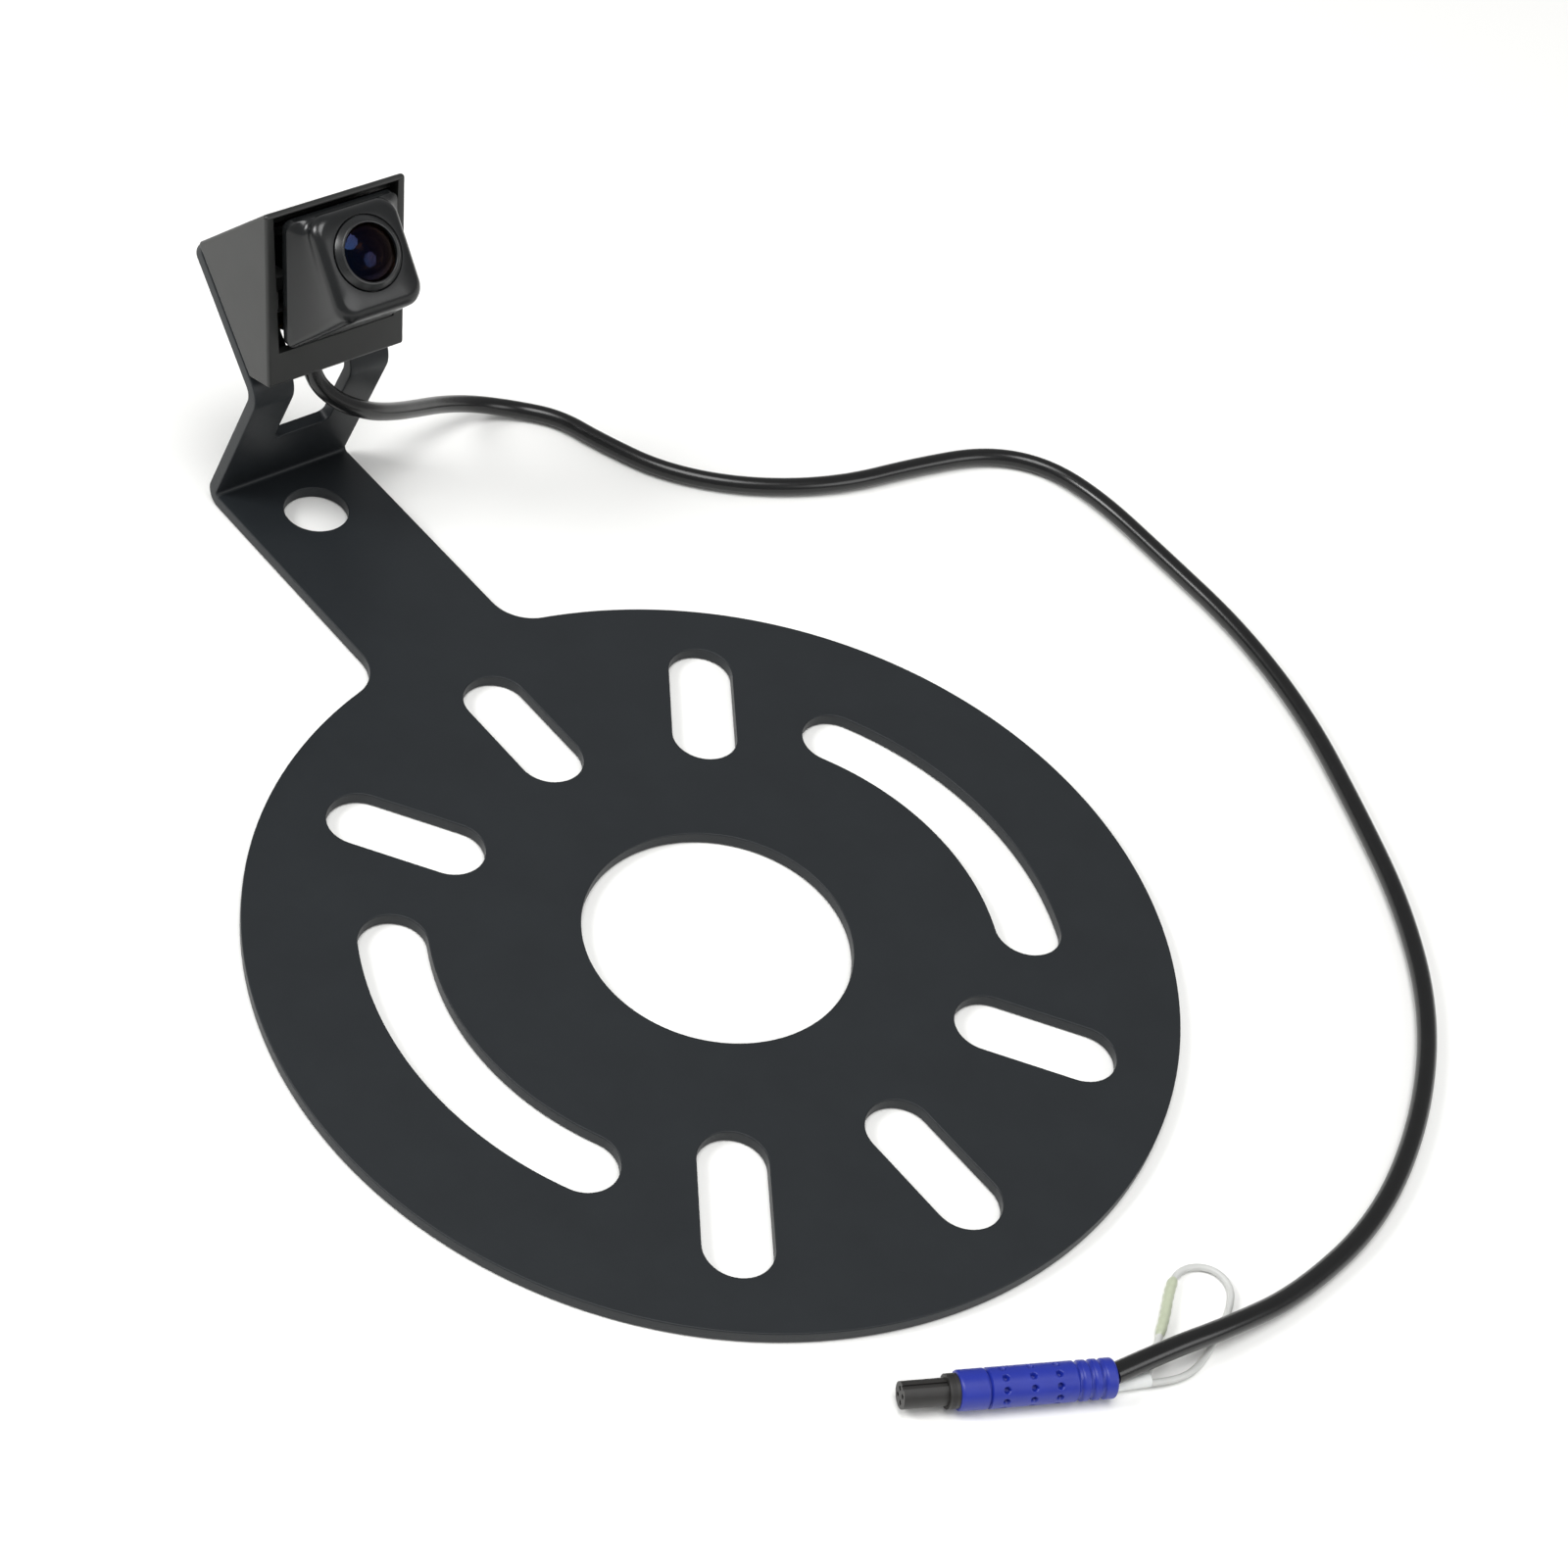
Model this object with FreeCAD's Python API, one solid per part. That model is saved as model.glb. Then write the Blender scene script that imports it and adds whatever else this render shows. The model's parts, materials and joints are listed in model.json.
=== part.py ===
"""Spare-wheel backup camera: stud plate, bent arm, hooded tilting camera, cable and plug.

Row frame: millimetres, +Z up. The origin is on the hub bore's axis at the plate's underside,
+Y runs along the arm towards the camera and +X is to the right of the arm.
"""
import FreeCAD, Part
import math
import os

V = FreeCAD.Vector

# ---- Driving sizes: mounting bracket (one bent sheet) ----
sheet_thickness = 2.7
disc_radius = 92.0
hub_bore_radius = 26.8
stud_slot_width = 13.5
slot_inner_stud_circle = 109.5
slot_outer_stud_circle = 147.1
arc_slot_stud_circle = 127.0
arc_slot_half_angle = 28.4
radial_slot_angles = (54.0, 90.0, 126.0, 234.0, 270.0, 306.0)
arm_width = 33.5
arm_blend_radius = 9.0
arm_hole_radius = 6.95
arm_hole_to_fold = 13.9
fold_distance = 153.4
fold_inner_radius = 0.8
upright_lean = 19.1
upright_length = 36.7
window_width = 14.0
window_start = 17.0
window_corner_radius = 1.6
tine_rise = 41.8
tine_length = 34.15
tine_fold_inner_radius = 3.0
tine_corner_radius = 2.5

# ---- Driving sizes: camera housing ----
housing_foot = 5.2
housing_base_depth = 7.35
housing_base_rise = 16.5
housing_face_height = 39.65
housing_face_lean = 9.5
housing_wall = 1.8
housing_frame_depth = 2.0
housing_edge_round = 0.8
opening_bottom = 7.4
opening_top_margin = 1.5
opening_lip = 0.8
opening_top_half_width = 15.0
opening_bottom_half_width = 14.1
outlet_length = 11.0

# ---- Driving sizes: fixing screws through the tines ----
screw_radius = 1.5
screw_length = 7.4
screw_head_radius = 2.75
screw_head_height = 2.0
screw_hole_radius = 1.7
screw_rows = (13.5, 26.5)
insert_radius = 2.3
insert_length = 3.2
insert_boss_wall = 1.1
insert_boss_height = 3.6

# ---- Driving sizes: camera pod ----
lens_forward = 10.9
lens_height = 31.2
lens_elevation = 43.0
face_half_width = 8.7
face_top = 8.1
face_bottom = -9.9
face_corner_radius = 3.2
skirt_half_width = 13.3
skirt_thickness = 1.5
skirt_forward = 2.0
skirt_top = 37.2
skirt_bottom = 9.0
skirt_corner_radius = 2.0
pod_wall = 1.3
rear_half_width = 10.3
rear_top = 8.5
rear_bottom = -10.0
rear_depth = 26.3
rear_corner_radius = 2.0
gasket_thickness = 0.5
lens_bore_radius = 7.7
bezel_radius = 7.5
bezel_proud = 1.25
bezel_seat_depth = 1.6
ring_overlap = 0.1
lens_dome_radius = 11.0
lens_back_radius = 6.6
lens_wall = 1.1
barrel_radius = 6.0
barrel_length = 11.0
inner_lens_radius = 2.8
holder_wall = 1.2
holder_base = 11.4
holder_foot = 1.6
holder_sleeve = 5.5
holder_ledge = 1.2
barrel_gap = 1.4
board_thickness = 1.0
board_half_width = 7.6
sensor_size = 6.0
sensor_height = 0.9
board_gap = 4.4
shell_screw_radius = 0.8
shell_screw_head_radius = 1.5
shell_post_radius = 1.9
shell_screw_x = 8.0

# ---- Driving sizes: tilt pivot ----
pivot_depth = 19.0
pivot_drop = 1.3
trunnion_radius = 2.5
trunnion_length = 3.7
cheek_radius = 4.6
cheek_gap = 0.7
washer_thickness = 0.6
washer_radius = 4.0
snap_groove_width = 4.3

# ---- Driving sizes: cable, plug and setting wire ----
cable_diameter = 3.9
gland_x = -2.6
gland_boot_radius = 2.9
gland_collar_radius = 3.4
gland_collar_height = 1.2
plug_rear = V(-4.4, -116.8, 3.6)
plug_heading = 153.3
sleeve_radius = 3.6
sleeve_length = 29.0
sleeve_edge_round = 1.0
sleeve_grooves = ((2.2, 0.8), (4.3, 0.8), (6.5, 0.8), (23.4, 0.4))
sleeve_groove_depth = 0.4
insert_tip_radius = 2.45
insert_tip_length = 8.2
collar_radius = 3.1
collar_length = 2.0
contact_radius = 0.45
contact_circle = 1.25
ring_section = 0.45
wire_diameter = 1.3
stub_radius = 1.35
splice_radius = 1.0
splice_first_bend = 2
splice_last_bend = 4

# ---- Clearances ----
pivot_clearance = 0.05
sliding_clearance = 0.1
lens_clearance = 0.05

# ---- Sizes that follow from others ----
bezel_inner_radius = barrel_radius - ring_overlap
lens_radius = bezel_inner_radius - lens_clearance

# Route of the free cable from the gland to the plug. The floor is at zero.
lay = cable_diameter / 2
CABLE_ROUTE = [
    (-2.6, 145.0, 50.4),
    (-2.6, 145.0, 43.6),
    (-2.0, 142.8, 36.6),
    (2.4, 140.2, 31.3),
    (9.8, 139.0, 26.6),
    (19.0, 141.6, 21.0),
    (29.3, 145.8, 15.0),
    (39.5, 149.8, 9.4),
    (50.0, 151.2, 4.6),
    (59.6, 147.8, lay),
    (66.9, 140.5, lay),
    (70.3, 129.6, lay),
    (77.0, 114.5, lay),
    (91.0, 101.5, lay),
    (110.0, 92.5, lay),
    (131.0, 89.2, lay),
    (149.0, 84.8, lay),
    (159.5, 75.0, lay),
    (163.0, 60.0, lay),
    (162.2, 38.0, lay),
    (161.0, 12.0, lay),
    (154.5, -15.0, lay),
    (143.0, -41.0, lay),
    (131.0, -65.5, lay),
    (114.5, -88.0, lay),
    (92.0, -106.0, lay),
    (66.0, -118.5, lay),
    (40.0, -122.0, lay),
    (21.5, -120.6, 3.9),
    (8.5, -118.4, 4.7),
    (-4.4, -116.8, 4.8),
]

# Route of the thin setting wire, a loop out of and back into its stub.
wire_lay = wire_diameter / 2
WIRE_ROUTE = [
    (3.0, -119.2, 1.35),
    (6.2, -117.4, 1.1),
    (10.4, -114.7, 1.05),
    (15.2, -111.6, 1.1),
    (19.6, -108.2, 1.05),
    (23.8, -105.8, 0.8),
    (28.0, -106.3, wire_lay),
    (31.0, -109.2, wire_lay),
    (31.0, -113.3, wire_lay),
    (27.8, -116.4, wire_lay),
    (22.6, -119.0, wire_lay),
    (17.0, -121.4, wire_lay),
    (11.6, -122.9, wire_lay),
    (6.6, -122.3, 0.9),
    (2.5, -120.55, 1.35),
]


def polar(radius, degrees):
    """Point in the plate's plane at a radius and an angle from +X."""
    angle = math.radians(degrees)
    return V(radius * math.cos(angle), radius * math.sin(angle), 0)


def heading(degrees):
    """Unit direction in the YZ plane, measured up from +Y."""
    angle = math.radians(degrees)
    return V(0, math.cos(angle), math.sin(angle))


def meet(point_a, way_a, point_b, way_b):
    """Point where two lines of the YZ plane cross."""
    cross = way_a.y * way_b.z - way_a.z * way_b.y
    gap = point_b - point_a
    along = (gap.y * way_b.z - gap.z * way_b.y) / cross
    return point_a + way_a * along


def prism(profile, half_width):
    """Solid of a closed YZ profile, extruded along X to both sides."""
    shifted = [point + V(-half_width, 0, 0) for point in profile]
    face = Part.Face(Part.makePolygon(shifted + shifted[:1]))
    return face.extrude(V(2 * half_width, 0, 0))


def rod(start, direction, radius, length):
    """Cylinder from a point along a direction."""
    return Part.makeCylinder(radius, length, start, direction)


def tube(start, direction, outer, inner, length):
    """Round tube from a point along a direction."""
    return rod(start, direction, outer, length).cut(rod(start, direction, inner, length))


def rounded(shape, radius, choose):
    """Round the edges that the test picks."""
    edges = [edge for edge in shape.Edges if choose(edge)]
    return shape.makeFillet(radius, edges)


def turned(profile, start, direction):
    """Solid of revolution: a closed list of (radius, height) turned about an axis."""
    points = [V(radius, 0, height) for radius, height in profile]
    face = Part.Face(Part.makePolygon(points + points[:1]))
    solid = face.revolve(V(0, 0, 0), V(0, 0, 1), 360)
    turn = FreeCAD.Rotation(V(0, 0, 1), direction)
    solid.Placement = FreeCAD.Placement(start, turn).multiply(solid.Placement)
    return solid


# ---- Bracket geometry that other pieces use ----
up_lean = heading(90 + upright_lean)
up_tine = heading(tine_rise)
tine_normal = heading(tine_rise + 90)
fold_inner = V(0, fold_distance, sheet_thickness)
tine_fold = fold_inner + up_lean * upright_length
tine_end = tine_fold + up_tine * tine_length


def on_tine(along, off=0.0, x=0.0):
    """Point on the tines' housing side, along from the fold and off the sheet."""
    return tine_fold + up_tine * along + tine_normal * off + V(x, 0, 0)


# ---- Housing geometry ----
face_up = heading(90 - housing_face_lean)
face_out = heading(180 - housing_face_lean)
housing_back_foot = on_tine(housing_foot)
housing_front_foot = housing_back_foot + heading(180 - housing_base_rise) * housing_base_depth
housing_brow = housing_front_foot + face_up * housing_face_height
roof_way = (tine_end - housing_brow).normalize()
roof_normal = V(0, -roof_way.z, roof_way.y)


def on_face(x, height, forward):
    """Point by height along the housing's front face and forward of it."""
    return housing_front_foot + face_up * height + face_out * forward + V(x, 0, 0)


# ---- Pod geometry: local x right, y up the lens face, z out along the lens axis ----
pod_origin = on_face(0, lens_height, lens_forward)
pod_turn = FreeCAD.Placement(pod_origin, FreeCAD.Rotation(V(1, 0, 0), 90 - lens_elevation))
face_tilt = lens_elevation - housing_face_lean


def in_pod(shape):
    """Put a shape that was built in the pod's local frame in its place."""
    placed = shape.copy()
    placed.Placement = pod_turn.multiply(shape.Placement)
    return placed


def pod_local(height, forward):
    """Local pod (y, z) of a point given by housing face height and forward distance."""
    local = pod_turn.inverse().multVec(on_face(0, height, forward))
    return local.y, local.z


def pivot_point(x):
    """Point of the tilt axis in the row frame."""
    return pod_turn.multVec(V(x, -pivot_drop, -pivot_depth))


def ring_wire(top, bottom, half_width, radius):
    """Rounded rectangle through a top and a bottom (y, z) of the pod's middle plane."""
    low = V(0, bottom[0], bottom[1])
    high = V(0, top[0], top[1])
    up = (high - low).normalize()
    side = V(1, 0, 0)
    middle = (low + high) * 0.5
    tall = (high - low).Length / 2
    diagonal = radius * (1 - math.sqrt(0.5))
    edges = []
    corners = ((1, 1), (-1, 1), (-1, -1), (1, -1))
    last = None
    first = None
    for index, (sx, sy) in enumerate(corners):
        along_x = middle + side * sx * (half_width - radius) + up * sy * tall
        along_y = middle + side * sx * half_width + up * sy * (tall - radius)
        bend = middle + side * sx * (half_width - diagonal) + up * sy * (tall - diagonal)
        start, end = (along_y, along_x) if index % 2 == 0 else (along_x, along_y)
        if last is not None:
            edges.append(Part.LineSegment(last, start).toShape())
        else:
            first = start
        edges.append(Part.Arc(start, bend, end).toShape())
        last = end
    edges.append(Part.LineSegment(last, first).toShape())
    return Part.Wire(edges)


def block(half_width, low, high, back, front, radius):
    """Box of the pod's local frame with its four long edges rounded."""
    wire = ring_wire((high, back), (low, back), half_width, radius)
    return Part.Face(wire).extrude(V(0, 0, front - back))


# ---- Mounting bracket ----
def plate_outline():
    """Disc and arm in one outline with blended corners."""
    half = arm_width / 2
    blend_y = math.sqrt((disc_radius + arm_blend_radius) ** 2 - (half + arm_blend_radius) ** 2)
    centre = V(half + arm_blend_radius, blend_y, 0)
    touch = centre * (disc_radius / (disc_radius + arm_blend_radius))
    to_touch = (touch - centre).normalize()
    bend = centre + (to_touch + V(-1, 0, 0)).normalize() * arm_blend_radius
    arm_right = V(half, blend_y, 0)
    arm_end = V(half, fold_distance - arm_hole_to_fold / 2, 0)

    def left(point):
        return V(-point.x, point.y, 0)

    edges = [
        Part.Arc(touch, V(0, -disc_radius, 0), left(touch)).toShape(),
        Part.Arc(left(touch), left(bend), left(arm_right)).toShape(),
        Part.LineSegment(left(arm_right), left(arm_end)).toShape(),
        Part.LineSegment(left(arm_end), arm_end).toShape(),
        Part.LineSegment(arm_end, arm_right).toShape(),
        Part.Arc(arm_right, bend, touch).toShape(),
    ]
    return Part.Face(Part.Wire(edges))


def radial_slot(degrees):
    """Round-ended slot along a radius, for studs on a range of stud circles."""
    inner = slot_inner_stud_circle / 2
    outer = slot_outer_stud_circle / 2
    half = stud_slot_width / 2
    body = Part.makeBox(outer - inner, 2 * half, sheet_thickness, V(inner, -half, 0))
    for centre in (inner, outer):
        body = body.fuse(Part.makeCylinder(half, sheet_thickness, V(centre, 0, 0)))
    body = body.removeSplitter()
    body.rotate(V(0, 0, 0), V(0, 0, 1), degrees)
    return body


def arc_slot(degrees):
    """Round-ended slot along a stud circle."""
    middle = arc_slot_stud_circle / 2
    half = stud_slot_width / 2
    ends = (degrees - arc_slot_half_angle, degrees + arc_slot_half_angle)
    outer = [polar(middle + half, angle) for angle in (ends[0], degrees, ends[1])]
    inner = [polar(middle - half, angle) for angle in (ends[1], degrees, ends[0])]
    cap_high = polar(middle, ends[1]) + polar(half, ends[1] + 90)
    cap_low = polar(middle, ends[0]) + polar(half, ends[0] - 90)
    edges = [
        Part.Arc(*outer).toShape(),
        Part.Arc(outer[2], cap_high, inner[0]).toShape(),
        Part.Arc(*inner).toShape(),
        Part.Arc(inner[2], cap_low, outer[0]).toShape(),
    ]
    return Part.Face(Part.Wire(edges)).extrude(V(0, 0, sheet_thickness))


def stud_plate():
    """Flat disc and arm with every hole, its edges broken."""
    plate = plate_outline().extrude(V(0, 0, sheet_thickness))
    cuts = [Part.makeCylinder(hub_bore_radius, sheet_thickness)]
    cuts += [radial_slot(angle) for angle in radial_slot_angles]
    cuts += [arc_slot(angle) for angle in (0.0, 180.0)]
    hole_y = fold_distance - arm_hole_to_fold
    cuts.append(Part.makeCylinder(arm_hole_radius, sheet_thickness, V(0, hole_y, 0)))
    return plate.cut(Part.makeCompound(cuts))


def bent_strip():
    """Upright and tine profile, bent twice, as wide as the arm."""
    back = heading(upright_lean) * sheet_thickness
    low_front = V(0, fold_distance - arm_hole_to_fold / 2, sheet_thickness)
    low_back = V(0, low_front.y, 0)
    fold_outer = meet(V(0, 0, 0), V(0, 1, 0), fold_inner + back, up_lean)
    tine_back = tine_fold - tine_normal * sheet_thickness
    fold_back = meet(fold_outer, up_lean, tine_back, up_tine)
    tine_end_back = tine_end - tine_normal * sheet_thickness
    front = [low_front, fold_inner, tine_fold, tine_end]
    profile = [low_back] + front + [tine_end_back, fold_back, fold_outer]
    strip = prism(profile, arm_width / 2)
    tine_outer = tine_fold_inner_radius + sheet_thickness
    bends = (
        (fold_inner, fold_inner_radius),
        (fold_outer, fold_inner_radius + sheet_thickness),
        (tine_fold, tine_outer),
        (fold_back, tine_fold_inner_radius),
    )
    for corner, radius in bends:
        strip = rounded(strip, radius, lambda edge: edge.CenterOfMass.distanceToPoint(corner) < 0.01)
    return strip


def tine_window():
    """Space between the two tines, open at their ends."""
    reach = upright_length + tine_length
    floor = fold_inner + up_lean * window_start
    box = Part.makeBox(window_width, reach, reach, V(-window_width / 2, -reach / 2, 0))

    def at_floor_corner(edge):
        return edge.BoundBox.ZMax < 0.01 and edge.BoundBox.YLength > reach / 2

    box = rounded(box, window_corner_radius, at_floor_corner)
    turn = FreeCAD.Rotation(V(1, 0, 0), upright_lean)
    box.Placement = FreeCAD.Placement(floor, turn)
    return box


def screw_places():
    """Middle of each fixing screw on the tines' housing side."""
    x = (arm_width / 2 + window_width / 2) / 2
    return [on_tine(row, 0.0, side * x) for side in (-1, 1) for row in screw_rows]


def mounting_bracket():
    """The whole sheet: disc, arm, upright and two tines."""
    sheet = stud_plate().fuse(bent_strip()).removeSplitter()
    sheet = sheet.cut(tine_window())
    holes = [rod(place - tine_normal * 5, tine_normal, screw_hole_radius, 10) for place in screw_places()]
    sheet = sheet.cut(Part.makeCompound(holes))
    end_gap = tine_end - tine_normal * sheet_thickness / 2

    def at_tine_corner(edge):
        middle = edge.CenterOfMass - end_gap
        return V(0, middle.y, middle.z).Length < 0.01 and edge.Length < sheet_thickness + 0.01

    sheet = rounded(sheet, tine_corner_radius, at_tine_corner)
    return sheet.Solids[0]


# ---- Camera housing ----
def housing_cavity():
    """Inside of the hood, open below."""
    front = housing_front_foot - face_out * housing_frame_depth
    roof = housing_brow - roof_normal * housing_wall
    back = housing_back_foot + tine_normal * housing_wall
    brow = meet(front, face_up, roof, roof_way)
    heel = meet(roof, roof_way, back, up_tine)
    below = V(0, 0, -2 * housing_base_depth)
    low_front = meet(front, face_up, housing_front_foot + below, V(0, 1, 0))
    low_back = meet(back, up_tine, housing_front_foot + below, V(0, 1, 0))
    return prism([brow, heel, low_back, low_front], opening_top_half_width)


def front_opening():
    """Opening in the front frame, a little narrower at its foot."""
    low = opening_bottom
    high = housing_face_height - opening_top_margin
    outline = [
        on_face(-opening_bottom_half_width, low, 1),
        on_face(opening_bottom_half_width, low, 1),
        on_face(opening_top_half_width, high, 1),
        on_face(-opening_top_half_width, high, 1),
    ]
    face = Part.Face(Part.makePolygon(outline + outline[:1]))
    opening = face.extrude(face_out * -(housing_frame_depth + 2))
    roof = housing_brow - roof_normal * opening_lip
    reach = roof_way * housing_face_height
    above = roof_normal * housing_face_height
    kept = prism([roof - reach, roof + reach, roof + reach + above, roof - reach + above], arm_width)
    return opening.cut(kept)


def back_outlet():
    """Gap in the hood's back between the tines, where the cable leaves."""
    half = window_width / 2
    low = on_tine(housing_foot - housing_base_depth, -1, -half)
    box = Part.makeBox(2 * half, housing_base_depth + outlet_length, housing_wall + 2)
    box.Placement = FreeCAD.Placement(low, FreeCAD.Rotation(V(1, 0, 0), tine_rise))
    return box


def cheek(side):
    """Boss inside a side wall that carries a trunnion, with its snap groove."""
    inner = rear_half_width + cheek_gap
    start = pivot_point(side * inner)
    way = V(side, 0, 0)
    length = opening_top_half_width - inner + housing_wall / 3
    return rod(start, way, cheek_radius, length)


def trunnion_socket(side):
    """Blind socket in a cheek, and the groove that the trunnion snaps in by."""
    inner = rear_half_width + cheek_gap
    way = V(side, 0, 0)
    depth = trunnion_length - cheek_gap + sliding_clearance
    radius = trunnion_radius + pivot_clearance
    socket = rod(pivot_point(side * inner), way, radius, depth)
    groove = Part.makeBox(depth, cheek_radius, snap_groove_width, V(0, 0, -snap_groove_width / 2))
    turn = FreeCAD.Rotation(V(1, 0, 0), 180 - housing_face_lean)
    corner = pivot_point(side * inner if side > 0 else side * (inner + depth))
    groove.Placement = FreeCAD.Placement(corner, turn)
    return socket.fuse(groove)


def camera_housing():
    """Moulded hood: front frame, sides, roof and back, open below."""
    outer = prism([housing_front_foot, housing_brow, tine_end, housing_back_foot], arm_width / 2)
    brow_edge = housing_brow

    def is_brow(edge):
        middle = edge.CenterOfMass
        return V(0, middle.y - brow_edge.y, middle.z - brow_edge.z).Length < 0.01 and edge.Length > 5

    outer = rounded(outer, housing_edge_round, is_brow)
    hood = outer.cut(housing_cavity()).cut(front_opening()).cut(back_outlet())
    bosses = []
    bores = []
    for place in screw_places():
        bosses.append(rod(place + tine_normal * 0.2, tine_normal, insert_radius + insert_boss_wall,
                          housing_wall + insert_boss_height - 0.2))
        bores.append(rod(place - tine_normal, tine_normal, screw_hole_radius, 2 + housing_wall))
        bores.append(rod(place + tine_normal * housing_wall, tine_normal, insert_radius,
                         insert_boss_height + 1))
    for side in (-1, 1):
        bosses.append(cheek(side))
        bores.append(trunnion_socket(side))
    hood = hood.fuse(bosses)
    hood = hood.common(outer).cut(Part.makeCompound(bores))
    return hood.removeSplitter().Solids[0]


def insert_nuts():
    """Brass threaded inserts pressed in the housing's bosses."""
    start = tine_normal * housing_wall
    return [tube(place + start, tine_normal, insert_radius, screw_radius, insert_length)
            for place in screw_places()]


def fixing_screws():
    """Pan-head screws through the tines into the inserts."""
    screws = []
    for place in screw_places():
        under_head = place - tine_normal * sheet_thickness
        head = rod(under_head, tine_normal * -1, screw_head_radius, screw_head_height)
        head = rounded(head, screw_head_height * 0.45,
                       lambda e: e.CenterOfMass.distanceToPoint(under_head) > screw_head_height * 0.9
                       and len(e.Vertexes) == 1)
        shank = rod(under_head, tine_normal, screw_radius, screw_length)
        recess = cross_recess(under_head - tine_normal * screw_head_height, tine_normal, 1.6, 1.1)
        screws.append(head.fuse(shank).cut(recess))
    return screws


def cross_recess(start, direction, half, depth):
    """Cross-shaped driver recess, sunk in from a point."""
    width = half * 0.42
    bars = [
        Part.makeBox(2 * half, width, depth, V(-half, -width / 2, 0)),
        Part.makeBox(width, 2 * half, depth, V(-width / 2, -half, 0)),
    ]
    cross = bars[0].fuse(bars[1])
    cross.Placement = FreeCAD.Placement(start, FreeCAD.Rotation(V(0, 0, 1), direction))
    return cross


# ---- Camera pod ----
def skirt_edge(top, forward):
    """Local (y, z) of the skirt's top or bottom edge at a forward distance."""
    return pod_local(skirt_top if top else skirt_bottom, forward)


def front_shell_sections():
    """Rings of the front shell from the lens face to the skirt."""
    high = skirt_edge(True, skirt_forward)
    low = skirt_edge(False, skirt_forward)
    shoulder_top = (face_top + 1.7, -2.2)
    shoulder_bottom = (face_bottom - 2.4, -2.6)
    shoulder_half = face_half_width + 1.6
    rings = [
        ring_wire((face_top, 0), (face_bottom, 0), face_half_width, face_corner_radius),
        ring_wire((face_top + 1.2, -0.6), (face_bottom - 1.5, -0.7), face_half_width + 1.1,
                  face_corner_radius + 0.6),
        ring_wire(shoulder_top, shoulder_bottom, shoulder_half, face_corner_radius + 0.8),
    ]
    steps = 4
    for step in range(1, steps + 1):
        share = step / steps
        flare = share ** 2
        top = [a + (b - a) * share for a, b in zip(shoulder_top, high)]
        bottom = [a + (b - a) * share for a, b in zip(shoulder_bottom, low)]
        half = shoulder_half + (skirt_half_width - shoulder_half) * flare
        radius = face_corner_radius + 0.8 + (skirt_corner_radius - face_corner_radius - 0.8) * share
        rings.append(ring_wire(top, bottom, half, radius))
    return rings


def skirt_plane_cut(forward):
    """Large block behind a plane parallel to the housing's face."""
    size = 4 * skirt_half_width
    box = Part.makeBox(2 * size, 2 * size, size, V(-size, -size, -size))
    y, z = pod_local(lens_height, forward)
    box.Placement = FreeCAD.Placement(V(0, y, z), FreeCAD.Rotation(V(1, 0, 0), face_tilt))
    return box


def front_shell():
    """Flared front cover of the pod, hollow, with the lens bore."""
    flare = Part.makeLoft(front_shell_sections(), True, True)
    base = front_shell_sections()[-1]
    local_out = pod_turn.inverse().Rotation.multVec(face_out)
    skirt = Part.Face(base).extrude(local_out * -skirt_thickness)
    shell = flare.fuse(skirt)
    inner = block(rear_half_width - pod_wall, rear_bottom + pod_wall, rear_top - pod_wall, -rear_depth,
                  -2.4, rear_corner_radius)
    shell = shell.cut(inner)
    seat = Part.makeCylinder(lens_bore_radius, bezel_seat_depth + 1, V(0, 0, -bezel_seat_depth))
    bore = Part.makeCylinder(barrel_radius + 0.3, 8, V(0, 0, -7))
    shell = shell.cut(seat).cut(bore)
    posts = [shell_post(x, y, 0) for x, y in shell_screw_spots()]
    posts = [post.common(flare) for post in posts]
    shell = shell.fuse(posts).cut(seat)
    holes = [Part.makeCylinder(shell_screw_radius, rear_depth - 3, V(x, y, -rear_depth))
             for x, y in shell_screw_spots()]
    shell = shell.cut(Part.makeCompound(holes))
    behind = skirt_plane_cut(skirt_forward - skirt_thickness)
    return shell.cut(behind).removeSplitter().Solids[0]


def shell_screw_spots():
    """Local (x, y) of the four long screws that close the pod."""
    inset = rear_half_width - shell_screw_x
    return [(side * shell_screw_x, y) for side in (-1, 1)
            for y in (rear_top - inset, rear_bottom + inset)]


def shell_post(x, y, front):
    """Corner post for one long screw."""
    return Part.makeCylinder(shell_post_radius, rear_depth + front - 2.4, V(x, y, -rear_depth))


def back_notch(grow):
    """Wedge off the pod's lower back edge, where the gland points straight down."""
    half = gland_collar_radius + 0.3 + grow
    leg = 8.0 + grow * 1.42
    low = V(gland_x - half, rear_bottom - grow, -rear_depth)
    reach = 2.0
    face = Part.Face(Part.makePolygon([
        low + V(0, -reach, -reach),
        low + V(0, leg + reach, -reach),
        low + V(0, leg, 0),
        low + V(0, 0, leg),
        low + V(0, -reach, leg + reach),
        low + V(0, -reach, -reach),
    ]))
    return face.extrude(V(2 * half, 0, 0))


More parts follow.
